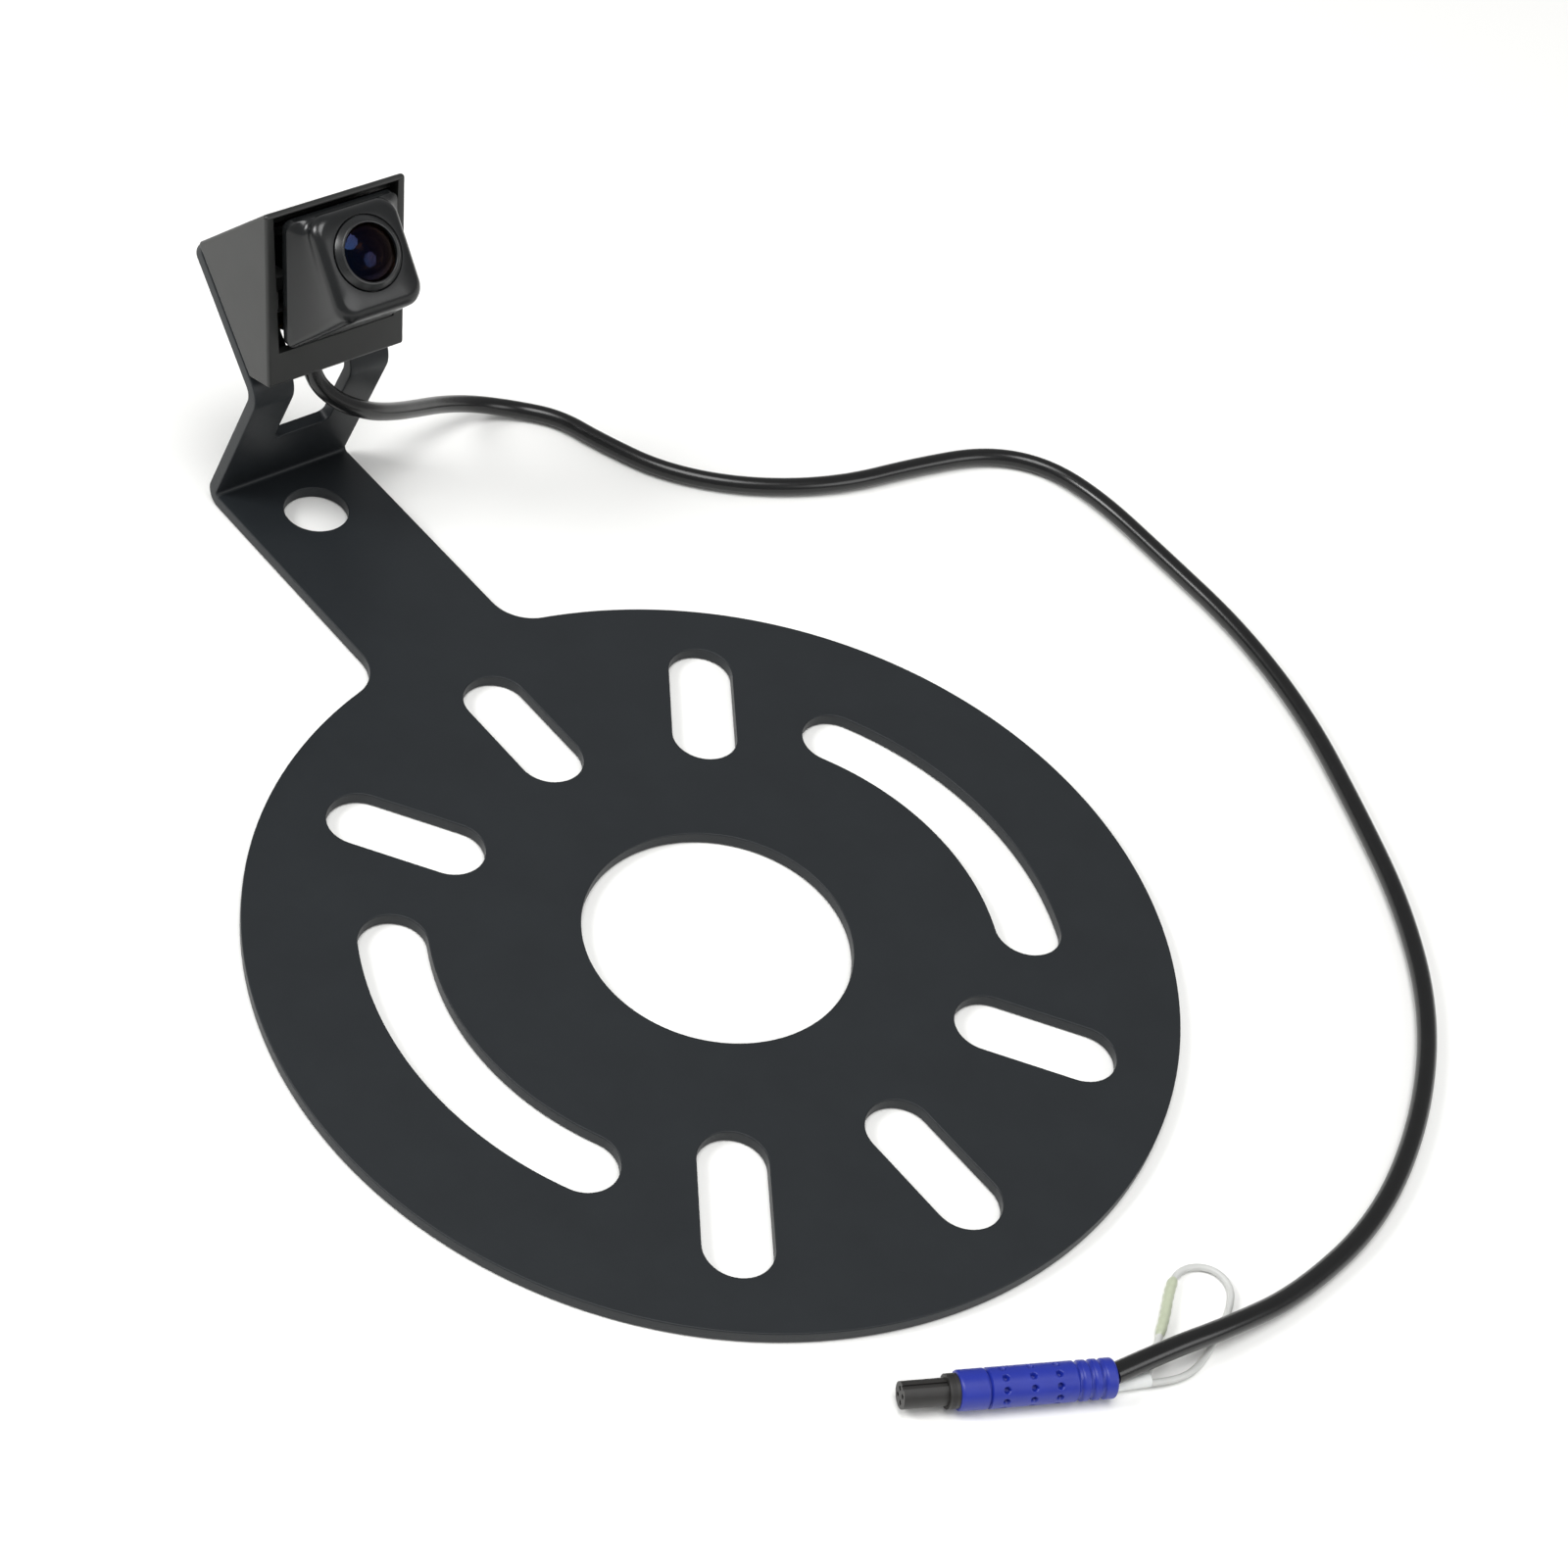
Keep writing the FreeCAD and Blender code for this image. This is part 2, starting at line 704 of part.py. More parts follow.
def rear_shell():
    """Rear box of the pod with trunnions, screw posts and the gland seat."""
    outer = block(rear_half_width, rear_bottom, rear_top, -rear_depth, 0, rear_corner_radius)
    inner = block(rear_half_width - pod_wall, rear_bottom + pod_wall, rear_top - pod_wall,
                  -rear_depth + pod_wall, 1, rear_corner_radius - pod_wall / 2)
    inner = inner.cut(back_notch(pod_wall))
    shell = outer.cut(back_notch(0)).cut(inner)
    posts = [shell_post(x, y, 0).common(outer) for x, y in shell_screw_spots()]
    trunnions = [Part.makeCylinder(trunnion_radius, trunnion_length + 0.4,
                                   V(side * (rear_half_width - 0.4), -pivot_drop, -pivot_depth),
                                   V(side, 0, 0)) for side in (-1, 1)]
    shell = shell.fuse(posts + trunnions)
    cuts = []
    for x, y in shell_screw_spots():
        cuts.append(Part.makeCylinder(shell_screw_radius, rear_depth, V(x, y, -rear_depth)))
        cuts.append(Part.makeCylinder(shell_screw_head_radius + sliding_clearance, 1.4, V(x, y, -rear_depth)))
    shell = shell.cut(Part.makeCompound(cuts))
    shell = in_pod(shell).cut(gland_bore())
    front = pod_front_block(skirt_forward - skirt_thickness - gasket_thickness)
    return shell.cut(front).removeSplitter().Solids[0]


def pod_front_block(forward):
    """Everything in front of a plane parallel to the housing's face, in the row frame."""
    size = 4 * skirt_half_width
    box = Part.makeBox(2 * size, 2 * size, size, V(-size, -size, 0))
    turn = FreeCAD.Rotation(V(1, 0, 0), 90 - housing_face_lean)
    box.Placement = FreeCAD.Placement(on_face(0, lens_height, forward), turn)
    return box


def shell_gasket():
    """Flat rubber frame between the two shells."""
    outer = block(rear_half_width, rear_bottom, rear_top, -rear_depth, 0, rear_corner_radius)
    inner = block(rear_half_width - pod_wall, rear_bottom + pod_wall, rear_top - pod_wall,
                  -rear_depth - 1, 1, rear_corner_radius - pod_wall / 2)
    frame = outer.cut(inner)
    posts = [shell_post(x, y, 0).common(outer) for x, y in shell_screw_spots()]
    frame = frame.fuse(posts)
    holes = [Part.makeCylinder(shell_screw_radius + 0.05, rear_depth, V(x, y, -rear_depth))
             for x, y in shell_screw_spots()]
    frame = in_pod(frame.cut(Part.makeCompound(holes)))
    back = skirt_forward - skirt_thickness - gasket_thickness
    slab = pod_front_block(back).cut(pod_front_block(back + gasket_thickness))
    return frame.common(slab).removeSplitter().Solids[0]


def shell_screws():
    """Long thin screws that close the pod from behind."""
    screws = []
    for x, y in shell_screw_spots():
        head = Part.makeCylinder(shell_screw_head_radius, 1.2, V(x, y, -rear_depth + 0.2))
        length = rear_depth - 5.0
        shank = Part.makeCylinder(shell_screw_radius, length, V(x, y, -rear_depth + 1.4))
        recess = cross_recess(V(x, y, -rear_depth + 0.2), V(0, 0, 1), 0.9, 0.7)
        screws.append(in_pod(head.fuse(shank).cut(recess)))
    return screws


def lens_bezel():
    """Trim ring round the lens, proud of the face, with a coned front."""
    depth = bezel_seat_depth
    profile = [
        (bezel_inner_radius, -depth),
        (bezel_radius, -depth),
        (bezel_radius, 0.15),
        (bezel_inner_radius + 0.45, bezel_proud),
        (bezel_inner_radius, bezel_proud),
    ]
    return in_pod(turned(profile, V(0, 0, 0), V(0, 0, 1)))


def dome(rim_radius, sphere_radius, apex, base):
    """Plano-convex body: a sphere's cap standing on a flat base."""
    ball = Part.makeSphere(sphere_radius, V(0, 0, apex - sphere_radius))
    return ball.common(Part.makeCylinder(rim_radius, apex - base, V(0, 0, base)))


def front_lens():
    """Meniscus cover lens."""
    rim = bezel_proud - 0.75
    sag = lens_dome_radius - math.sqrt(lens_dome_radius ** 2 - lens_radius ** 2)
    body = dome(lens_radius, lens_dome_radius, rim + sag, rim - lens_wall)
    hollow = Part.makeSphere(lens_back_radius, V(0, 0, rim + sag - lens_wall - lens_back_radius))
    return in_pod(body.cut(hollow))


def inner_lens():
    """Second element, seen as the small ring deep in the barrel."""
    return in_pod(dome(inner_lens_radius, 4.2, -2.4, -4.6))


def rear_lens():
    """Third element at the back of the barrel."""
    return in_pod(dome(inner_lens_radius - 0.4, 6.0, -8.0, -9.6))


def lens_barrel():
    """Threaded barrel that holds the elements, conical inside."""
    front = -bezel_seat_depth
    throat = inner_lens_radius
    profile = [
        (throat + lens_clearance, front - 3.0),
        (lens_radius - 0.6, front),
        (barrel_radius, front),
        (barrel_radius, front - barrel_length),
        (throat - 0.4 + lens_clearance, front - barrel_length),
        (throat - 0.4 + lens_clearance, front - 6.4),
        (throat - 0.9, front - 6.4),
        (throat - 0.9, front - 3.0),
    ]
    return in_pod(turned(profile, V(0, 0, 0), V(0, 0, 1)))


def element_ring():
    """Retaining ring over the second element."""
    start = V(0, 0, -bezel_seat_depth - 1.0)
    return in_pod(tube(start, V(0, 0, 1), inner_lens_radius + 0.25, inner_lens_radius - 0.6, 0.5))


def lens_seal():
    """O-ring under the trim ring, between barrel and shell."""
    radius = barrel_radius + 0.15
    return in_pod(tube(V(0, 0, -bezel_seat_depth - 0.9), V(0, 0, 1), radius + 0.12, radius - 0.1, 0.8))


def board_plane():
    """Local z of the sensor board's front."""
    return -bezel_seat_depth - barrel_length - barrel_gap


def lens_holder():
    """Square-footed holder that the barrel screws in."""
    foot = board_plane()
    room = max(barrel_radius - holder_ledge, sensor_size / 2 * math.sqrt(2) + sliding_clearance)
    corner = V(-holder_base / 2, -holder_base / 2, foot)
    base = Part.makeBox(holder_base, holder_base, holder_foot, corner)
    sleeve = Part.makeCylinder(barrel_radius + holder_wall, holder_sleeve, V(0, 0, foot))
    body = base.fuse(sleeve)
    body = body.cut(Part.makeCylinder(barrel_radius, holder_sleeve + 1, V(0, 0, foot + barrel_gap)))
    body = body.cut(Part.makeCylinder(room, holder_sleeve + 1, V(0, 0, foot)))
    return in_pod(body.common(pod_inside()))


def pod_inside():
    """Free room inside the pod, a little smaller than its walls."""
    gap = pod_wall + 0.15
    return block(rear_half_width - gap, rear_bottom + gap, rear_top - gap, -rear_depth + gap, 0,
                 rear_corner_radius)


def board(front, low):
    """Circuit board with rounded cut-outs round the screw posts."""
    high = rear_top - pod_wall - 0.2
    plate = Part.makeBox(2 * board_half_width, high - low, board_thickness,
                         V(-board_half_width, low, front - board_thickness))
    low_end = front - 1.5 * board_thickness
    posts = [Part.makeCylinder(shell_post_radius + 0.2, 2 * board_thickness, V(x, y, low_end))
             for x, y in shell_screw_spots()]
    return plate.cut(Part.makeCompound(posts))


def sensor_board():
    """Board behind the lens holder."""
    return in_pod(board(board_plane(), rear_bottom + pod_wall + 0.2))


def image_sensor():
    """Sensor chip on the board, under the barrel."""
    half = sensor_size / 2
    return in_pod(Part.makeBox(sensor_size, sensor_size, sensor_height, V(-half, -half, board_plane())))


def power_plane():
    """Local z of the power board's front."""
    return board_plane() - board_thickness - board_gap


def power_board():
    """Second board with the supply and the cable's socket."""
    return in_pod(board(power_plane(), rear_bottom + pod_wall + 6.0))


def board_pins():
    """Header pins that join the two boards."""
    pins = []
    for index in range(6):
        x = -3.175 + 1.27 * index
        foot = V(x, rear_top - pod_wall - 1.4, power_plane())
        pins.append(in_pod(Part.makeCylinder(0.22, board_gap, foot)))
    return pins


def board_capacitors():
    """Two small can capacitors on the power board."""
    return [in_pod(Part.makeCylinder(1.6, 2.6, V(x, 1.6, power_plane()))) for x in (-4.2, 4.2)]


def cable_socket():
    """White socket on the power board's front for the lead."""
    return in_pod(Part.makeBox(4.6, 2.8, 2.2, V(-2.3, -2.4, power_plane())))


# ---- Gland, friction washers ----
def gland_seat():
    """Point where the gland's axis crosses the notch's slanted wall."""
    notch_middle = rear_bottom + 4.0
    return pod_turn.multVec(V(gland_x, notch_middle, -rear_depth + 4.0))


def gland_bore():
    """Hole in the notch wall for the gland."""
    seat = gland_seat()
    return rod(seat + V(0, 0, 3), V(0, 0, -1), gland_boot_radius, 6)


def cable_gland():
    """Rubber gland: inner flange, collar and tapered boot."""
    seat = gland_seat()
    end = cable_start().z
    foot = seat.z - end
    profile = [
        (0, 1.9),
        (gland_boot_radius, 1.9),
        (gland_boot_radius, -0.6),
        (gland_collar_radius, -0.6),
        (gland_collar_radius, -0.6 - gland_collar_height),
        (gland_boot_radius, -0.6 - gland_collar_height),
        (cable_diameter / 2 + 0.35, -foot),
        (0, -foot),
    ]
    return turned(profile, seat, V(0, 0, 1))


def friction_washers():
    """Rubber washers on the trunnions that hold the tilt."""
    washers = []
    for side in (-1, 1):
        start = pivot_point(side * rear_half_width)
        washers.append(tube(start, V(side, 0, 0), washer_radius, trunnion_radius + pivot_clearance,
                            washer_thickness))
    return washers


# ---- Cable ----
def cable_start():
    """Where the free cable meets the gland's boot."""
    return V(*CABLE_ROUTE[0])


def route_wire(points):
    """Path of straight runs joined by tangent arcs as large as the runs allow."""
    edges = []
    radii = []
    last = points[0]
    for before, corner, after in zip(points, points[1:], points[2:]):
        back = before - corner
        on = after - corner
        shorter = min(back.Length, on.Length)
        reach = 0.45 * shorter
        turn = math.pi - back.getAngle(on)
        radius = reach / math.tan(turn / 2)
        back.normalize()
        on.normalize()
        start = corner + back * reach
        end = corner + on * reach
        inward = (back + on).normalize()
        centre = corner + inward * (radius / math.cos(turn / 2))
        bend = centre - inward * radius
        edges.append(Part.LineSegment(last, start).toShape())
        edges.append(Part.Arc(start, bend, end).toShape())
        radii.append(radius)
        last = end
    edges.append(Part.LineSegment(last, points[-1]).toShape())
    return Part.Wire(edges), radii


def cord_solid(name, route, radius):
    """Round cord along a route, with its length and bends printed."""
    points = [V(*point) for point in route]
    path, radii = route_wire(points)
    start = points[0]
    ring = Part.Wire(Part.makeCircle(radius, start, points[1] - start))
    solid = path.makePipeShell([ring], True, False)
    expected = math.pi * radius ** 2 * path.Length
    rounded_radii = [round(value, 1) for value in radii]
    print(name, "length", round(path.Length, 1), "volume share", round(solid.Volume / expected, 4))
    print(name, "radii", rounded_radii, "least", min(rounded_radii))
    return solid


def camera_cable():
    """Free cable from the gland to the plug."""
    return cord_solid("camera_cable", CABLE_ROUTE, cable_diameter / 2)


def setting_wire():
    """Thin wire loop at the plug."""
    return cord_solid("setting_wire", WIRE_ROUTE, wire_diameter / 2)


def wire_splice():
    """Shrink tube round the joint in the setting wire, from one bend of the route to another."""
    path, _ = route_wire([V(*point) for point in WIRE_ROUTE])
    stretch = Part.Wire(path.Edges[2 * splice_first_bend - 1:2 * splice_last_bend])
    start = stretch.Edges[0].valueAt(stretch.Edges[0].FirstParameter)
    way = stretch.Edges[0].tangentAt(stretch.Edges[0].FirstParameter)
    sweeps = []
    for radius in (splice_radius, wire_diameter / 2):
        ring = Part.Wire(Part.makeCircle(radius, start, way))
        sweeps.append(stretch.makePipeShell([ring], True, False))
    return sweeps[0].cut(sweeps[1]).Solids[0]


# ---- Plug ----
def plug_way():
    """Direction from the sleeve's rear to the plug's tip."""
    angle = math.radians(plug_heading)
    return V(math.cos(angle), math.sin(angle), 0)


def plug_point(along):
    """Point on the plug's axis."""
    return plug_rear + plug_way() * along


def plug_sleeve():
    """Moulded grip sleeve with dimples, ribs and a seam groove."""
    body = rod(plug_rear, plug_way(), sleeve_radius, sleeve_length)
    body = rounded(body, sleeve_edge_round, lambda e: e.CenterOfMass.distanceToPoint(plug_rear) < 0.1
                   and len(e.Vertexes) == 1)
    for along, width in sleeve_grooves:
        cutter = tube(plug_point(along), plug_way(), sleeve_radius + 1,
                      sleeve_radius - sleeve_groove_depth, width)
        body = body.cut(cutter)
    return body


def plug_insert():
    """Keyed insert with its collar, four contact holes and the flat key."""
    start = plug_point(sleeve_length)
    collar = rod(start, plug_way(), collar_radius, collar_length)
    tip_start = plug_point(sleeve_length + collar_length)
    tip = rod(tip_start, plug_way(), insert_tip_radius, insert_tip_length)
    groove = tube(plug_point(sleeve_length + 0.7), plug_way(), collar_radius + 1,
                  collar_radius - ring_section, 2 * ring_section)
    body = collar.fuse(tip).cut(groove)
    key = Part.makeBox(insert_tip_length, 0.9, 0.6, V(0, -0.45, insert_tip_radius - 0.45))
    turn = FreeCAD.Rotation(V(0, 0, 1), plug_heading)
    key.Placement = FreeCAD.Placement(tip_start, turn)
    return body.cut(key).cut(Part.makeCompound(contact_bores(contact_radius)))


def contact_bores(radius):
    """Round spaces for the four contacts, from the plug's tip."""
    depth = insert_tip_length - 1.0
    end = plug_point(sleeve_length + collar_length + insert_tip_length)
    across = V(0, 0, 1).cross(plug_way())
    spots = []
    for quarter in range(4):
        angle = math.radians(45 + 90 * quarter)
        offset = across * (contact_circle * math.cos(angle)) + V(0, 0, contact_circle * math.sin(angle))
        spots.append(rod(end + offset, plug_way() * -1, radius, depth))
    return spots


def plug_contacts():
    """Four round socket contacts, set back in the insert."""
    hollow = Part.makeCompound(contact_bores(contact_radius - 0.15))
    face = plug_point(sleeve_length + collar_length + insert_tip_length)
    trim = rod(face - plug_way() * 0.6, plug_way(), sleeve_radius, 2)
    return [bore.cut(hollow).cut(trim) for bore in contact_bores(contact_radius)]


def plug_ring():
    """Sealing ring in the collar's groove."""
    return tube(plug_point(sleeve_length + 0.7), plug_way(), collar_radius, collar_radius - ring_section,
                2 * ring_section)


def wire_stub():
    """White shrink tube that gathers the setting wire's two ends at the sleeve."""
    ends = (V(*WIRE_ROUTE[0]) + V(*WIRE_ROUTE[-1])) * 0.5
    start = plug_rear + V(0.0, 0.0, stub_radius - plug_rear.z)
    way = (ends - start).normalize()
    body = rod(start - way * 2, way, stub_radius, (ends - start).Length + 2)
    behind = rod(plug_rear, plug_way(), 3 * sleeve_radius, sleeve_length)
    return body.cut(behind).cut(end_block(ends, way))


def end_block(point, way):
    """Block past a point, square to a direction."""
    return rod(point, way, 3 * stub_radius, 10)


def write(name, shapes):
    """Write one node's STEP file and print its size."""
    solids = shapes if isinstance(shapes, list) else [shapes]
    shape = solids[0] if len(solids) == 1 else Part.makeCompound(solids)
    volume = round(sum(solid.Volume for solid in solids), 1)
    print(name, "solids", len(shape.Solids), "volume", volume, "valid", shape.isValid())
    shape.exportStep("parts/" + name + ".step")


def main():
    """Build every node."""
    os.makedirs("parts", exist_ok=True)
    write("mounting_bracket", mounting_bracket())
    write("camera_housing", camera_housing())
    write("threaded_inserts", insert_nuts())
    write("fixing_screws", fixing_screws())
    write("pod_front_shell", in_pod(front_shell()))
    write("pod_rear_shell", rear_shell())
    write("pod_gasket", shell_gasket())
    write("pod_screws", shell_screws())
    write("lens_trim_ring", lens_bezel())
    write("front_lens", front_lens())
    write("inner_lens", inner_lens())
    write("rear_lens", rear_lens())
    write("lens_barrel", lens_barrel())
    write("lens_retainer", element_ring())
    write("lens_seal", lens_seal())
    write("lens_holder", lens_holder())
    write("sensor_board", sensor_board())
    write("image_sensor", image_sensor())
    write("power_board", power_board())
    write("board_pins", board_pins())
    write("board_capacitors", board_capacitors())
    write("cable_socket", cable_socket())
    write("friction_washers", friction_washers())
    write("cable_gland", cable_gland())
    write("camera_cable", camera_cable())
    write("plug_sleeve", plug_sleeve())
    write("plug_insert", plug_insert())
    write("plug_contacts", plug_contacts())
    write("plug_ring", plug_ring())
    write("setting_wire", setting_wire())
    write("wire_splice", wire_splice())
    write("wire_stub", wire_stub())


main()
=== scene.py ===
"""Looks of the spare-wheel backup camera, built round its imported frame.

Sizes in the classes are in millimetres; every finished piece lies in the frame, in metres.
"""
import json
import logging
import math
from dataclasses import dataclass, field
from enum import Enum
from typing import Iterable, Optional, Sequence

import bmesh
import bpy
from mathutils import Matrix, Vector


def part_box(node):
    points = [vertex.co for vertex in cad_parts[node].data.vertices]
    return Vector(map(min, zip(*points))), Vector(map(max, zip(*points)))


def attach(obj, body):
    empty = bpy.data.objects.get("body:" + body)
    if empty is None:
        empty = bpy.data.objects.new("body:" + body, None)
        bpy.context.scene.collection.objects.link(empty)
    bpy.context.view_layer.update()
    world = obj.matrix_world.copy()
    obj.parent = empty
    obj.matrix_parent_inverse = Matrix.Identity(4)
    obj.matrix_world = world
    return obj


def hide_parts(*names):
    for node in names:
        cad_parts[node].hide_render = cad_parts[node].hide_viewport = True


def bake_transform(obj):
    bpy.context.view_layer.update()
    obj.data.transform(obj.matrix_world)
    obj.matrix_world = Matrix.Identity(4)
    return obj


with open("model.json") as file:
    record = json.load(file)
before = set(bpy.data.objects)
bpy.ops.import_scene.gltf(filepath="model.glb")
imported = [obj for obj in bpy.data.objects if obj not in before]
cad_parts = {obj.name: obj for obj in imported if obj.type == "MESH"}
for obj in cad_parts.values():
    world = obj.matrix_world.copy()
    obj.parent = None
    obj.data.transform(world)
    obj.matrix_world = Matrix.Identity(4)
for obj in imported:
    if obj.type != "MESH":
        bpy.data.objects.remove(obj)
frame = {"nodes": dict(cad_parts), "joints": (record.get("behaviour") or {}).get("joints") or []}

log = logging.getLogger("backup_camera")
MM = 0.001
ON_AXIS = 1e-6
LEAST_ROUND = 1e-4
SIDE_SHARE = 0.45
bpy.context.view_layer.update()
Profile = list[tuple[float, float]]
Ring = list[Vector]


class Body(Enum):
    """The two bodies that the frame moves."""

    MOUNT = "mount"
    POD = "camera_pod"


# ---- Materials ----
def linear(tone: str) -> tuple[float, float, float, float]:
    """Turn an sRGB hex tone into linear light.

    Args:
        tone: six hex digits after a hash.

    Returns:
        Red, green, blue and an alpha of 1.
    """
    shares = [int(tone[start:start + 2], 16) / 255 for start in (1, 3, 5)]
    light = [share / 12.92 if share <= 0.04045 else ((share + 0.055) / 1.055) ** 2.4
             for share in shares]
    return (*light, 1.0)


def add_node(tree: bpy.types.NodeTree, kind: str, links: Optional[dict] = None,
             **settings) -> bpy.types.Node:
    """Add a node with its settings, its values and its links.

    Args:
        tree: shader or geometry tree that gets the node.
        kind: Blender's name for the node's type.
        links: input name or number to a value, or to the output socket that feeds it.
        settings: properties of the node itself.

    Returns:
        The new node.
    """
    node = tree.nodes.new(kind)
    for name, value in settings.items():
        setattr(node, name, value)
    for key, value in (links or {}).items():
        if isinstance(value, bpy.types.NodeSocket):
            tree.links.new(value, node.inputs[key])
        else:
            node.inputs[key].default_value = value
    return node


@dataclass(frozen=True)
class Finish:
    """A surface whose tone, gloss and relief drift at real sizes.

    The tone drifts between two hex values over drift_mm, the grain is a relief of depth_mm at
    grain_mm, and gloss moves with the drift.
    """

    name: str
    tone: str
    other_tone: str
    roughness: float
    metallic: float = 0.0
    ior: float = 1.5
    gloss_swing: float = 0.06
    drift_mm: float = 6.0
    grain_mm: float = 0.5
    depth_mm: float = 0.01
    coat: float = 0.0
    coat_roughness: float = 0.1

    def coordinates(self, tree: bpy.types.NodeTree) -> bpy.types.NodeSocket:
        """Return the coordinates of the pattern, in metres of the frame."""
        return add_node(tree, "ShaderNodeTexCoord").outputs["Object"]

    def relief(self, tree: bpy.types.NodeTree, where: bpy.types.NodeSocket) -> bpy.types.NodeSocket:
        """Build the surface's grain.

        Args:
            tree: shader tree that gets the nodes.
            where: coordinates of the pattern, in metres.

        Returns:
            Socket of the height, from 0 to 1.
        """
        grain = add_node(tree, "ShaderNodeTexNoise",
                         {"Vector": where, "Scale": 1 / (self.grain_mm * MM), "Detail": 2.0})
        return grain.outputs["Fac"]

    def drift(self, tree: bpy.types.NodeTree, where: bpy.types.NodeSocket) -> bpy.types.NodeSocket:
        """Build the slow drift of the tone.

        Args:
            tree: shader tree that gets the nodes.
            where: coordinates of the pattern, in metres.

        Returns:
            Socket of the drift, from 0 to 1.
        """
        cloud = add_node(tree, "ShaderNodeTexNoise",
                         {"Vector": where, "Scale": 1 / (self.drift_mm * MM), "Detail": 4.0,
                         "Roughness": 0.6})
        return cloud.outputs["Fac"]

    def shader_values(self) -> dict:
        """Return the shader's own constant inputs."""
        return {"Metallic": self.metallic, "Coat Weight": self.coat, "Coat Roughness": self.coat_roughness}

    def build(self) -> bpy.types.Material:
        """Make the material once.

        Returns:
            The material of this name.
        """
        made = bpy.data.materials.get(self.name)
        if made:
            return made
        material = bpy.data.materials.new(self.name)
        material.use_nodes = True
        tree = material.node_tree
        tree.nodes.clear()
        where = self.coordinates(tree)
        share = self.drift(tree, where)
        tone = add_node(tree, "ShaderNodeMix", {0: share, 6: linear(self.tone), 7: linear(self.other_tone)},
                        data_type="RGBA")
        gloss = add_node(tree, "ShaderNodeMapRange",
                         {"Value": share, "To Min": self.roughness - self.gloss_swing,
                          "To Max": self.roughness + self.gloss_swing})
        bump = add_node(tree, "ShaderNodeBump",
                        {"Height": self.relief(tree, where), "Distance": self.depth_mm * MM, "Strength": 1.0})
        links = {"Base Color": tone.outputs[2], "Roughness": gloss.outputs["Result"],
                 "Normal": bump.outputs["Normal"], **self.shader_values()}
        if not self.metallic:
            links["IOR"] = self.ior
        shader = add_node(tree, "ShaderNodeBsdfPrincipled", links)
        add_node(tree, "ShaderNodeOutputMaterial", {"Surface": shader.outputs["BSDF"]})
        return material


@dataclass(frozen=True)
class PowderCoat(Finish):
    """Baked polyester powder on steel: an orange-peel skin that flowed before it set."""

    def relief(self, tree: bpy.types.NodeTree, where: bpy.types.NodeSocket) -> bpy.types.NodeSocket:
        """Build soft cells with fine grit on top.

        Args:
            tree: shader tree that gets the nodes.
            where: coordinates of the pattern, in metres.

        Returns:
            Socket of the height, from 0 up.
        """
        peel = add_node(tree, "ShaderNodeTexVoronoi",
                        {"Vector": where, "Scale": 1 / (self.grain_mm * MM)}, feature="SMOOTH_F1")
        grit = add_node(tree, "ShaderNodeTexNoise",
                        {"Vector": where, "Scale": 3 / (self.grain_mm * MM), "Detail": 3.0})
        both = add_node(tree, "ShaderNodeMath", {0: peel.outputs["Distance"], 1: grit.outputs["Fac"]},
                        operation="ADD")
        return both.outputs[0]


@dataclass(frozen=True)
class CutEdge(Finish):
    """The sheet's laser-cut wall under its coat: fine ridges stand square to the sheet."""

    stretch: float = 0.12

    def relief(self, tree: bpy.types.NodeTree, where: bpy.types.NodeSocket) -> bpy.types.NodeSocket:
        """Build ridges that are long across the sheet's thickness.

        Args:
            tree: shader tree that gets the nodes.
            where: coordinates of the pattern, in metres.

        Returns:
            Socket of the height, from 0 to 1.
        """
        flat = add_node(tree, "ShaderNodeMapping", {"Vector": where, "Scale": (1.0, 1.0, self.stretch)})
        ridge = add_node(tree, "ShaderNodeTexNoise",
                         {"Vector": flat.outputs["Vector"], "Scale": 1 / (self.grain_mm * MM), "Detail": 1.0})
        return ridge.outputs["Fac"]


@dataclass(frozen=True)
class Turned(Finish):
    """Metal turned or drawn: fine rings round its own axis, read from the piece's own height."""

    def relief(self, tree: bpy.types.NodeTree, where: bpy.types.NodeSocket) -> bpy.types.NodeSocket:
        """Build the tool's fine bands.

        Args:
            tree: shader tree that gets the nodes.
            where: coordinates of the pattern, in metres.

        Returns:
            Socket of the height, from 0 to 1.
        """
        bands = add_node(tree, "ShaderNodeTexWave",
                         {"Vector": where, "Scale": 1 / (self.grain_mm * MM), "Distortion": 1.5,
                          "Detail": 2.0})
        return bands.outputs["Fac"]


@dataclass(frozen=True)
class Jacket(Finish):
    """Extruded jacket of a cable: faint lines run along it, and it is smooth round its girth."""

    stretch: float = 0.04

    def coordinates(self, tree: bpy.types.NodeTree) -> bpy.types.NodeSocket:
        """Return the piece's own map: girth across and length along, both in metres."""
        return add_node(tree, "ShaderNodeUVMap", uv_map="girth_and_length").outputs["UV"]

    def relief(self, tree: bpy.types.NodeTree, where: bpy.types.NodeSocket) -> bpy.types.NodeSocket:
        """Build lines that are long along the cable.

        Args:
            tree: shader tree that gets the nodes.
            where: coordinates of the pattern, in metres.

        Returns:
            Socket of the height, from 0 to 1.
        """
        drawn = add_node(tree, "ShaderNodeMapping", {"Vector": where, "Scale": (1.0, self.stretch, 1.0)})
        lines = add_node(tree, "ShaderNodeTexNoise",
                         {"Vector": drawn.outputs["Vector"], "Scale": 1 / (self.grain_mm * MM),
                          "Detail": 2.0})
        return lines.outputs["Fac"]


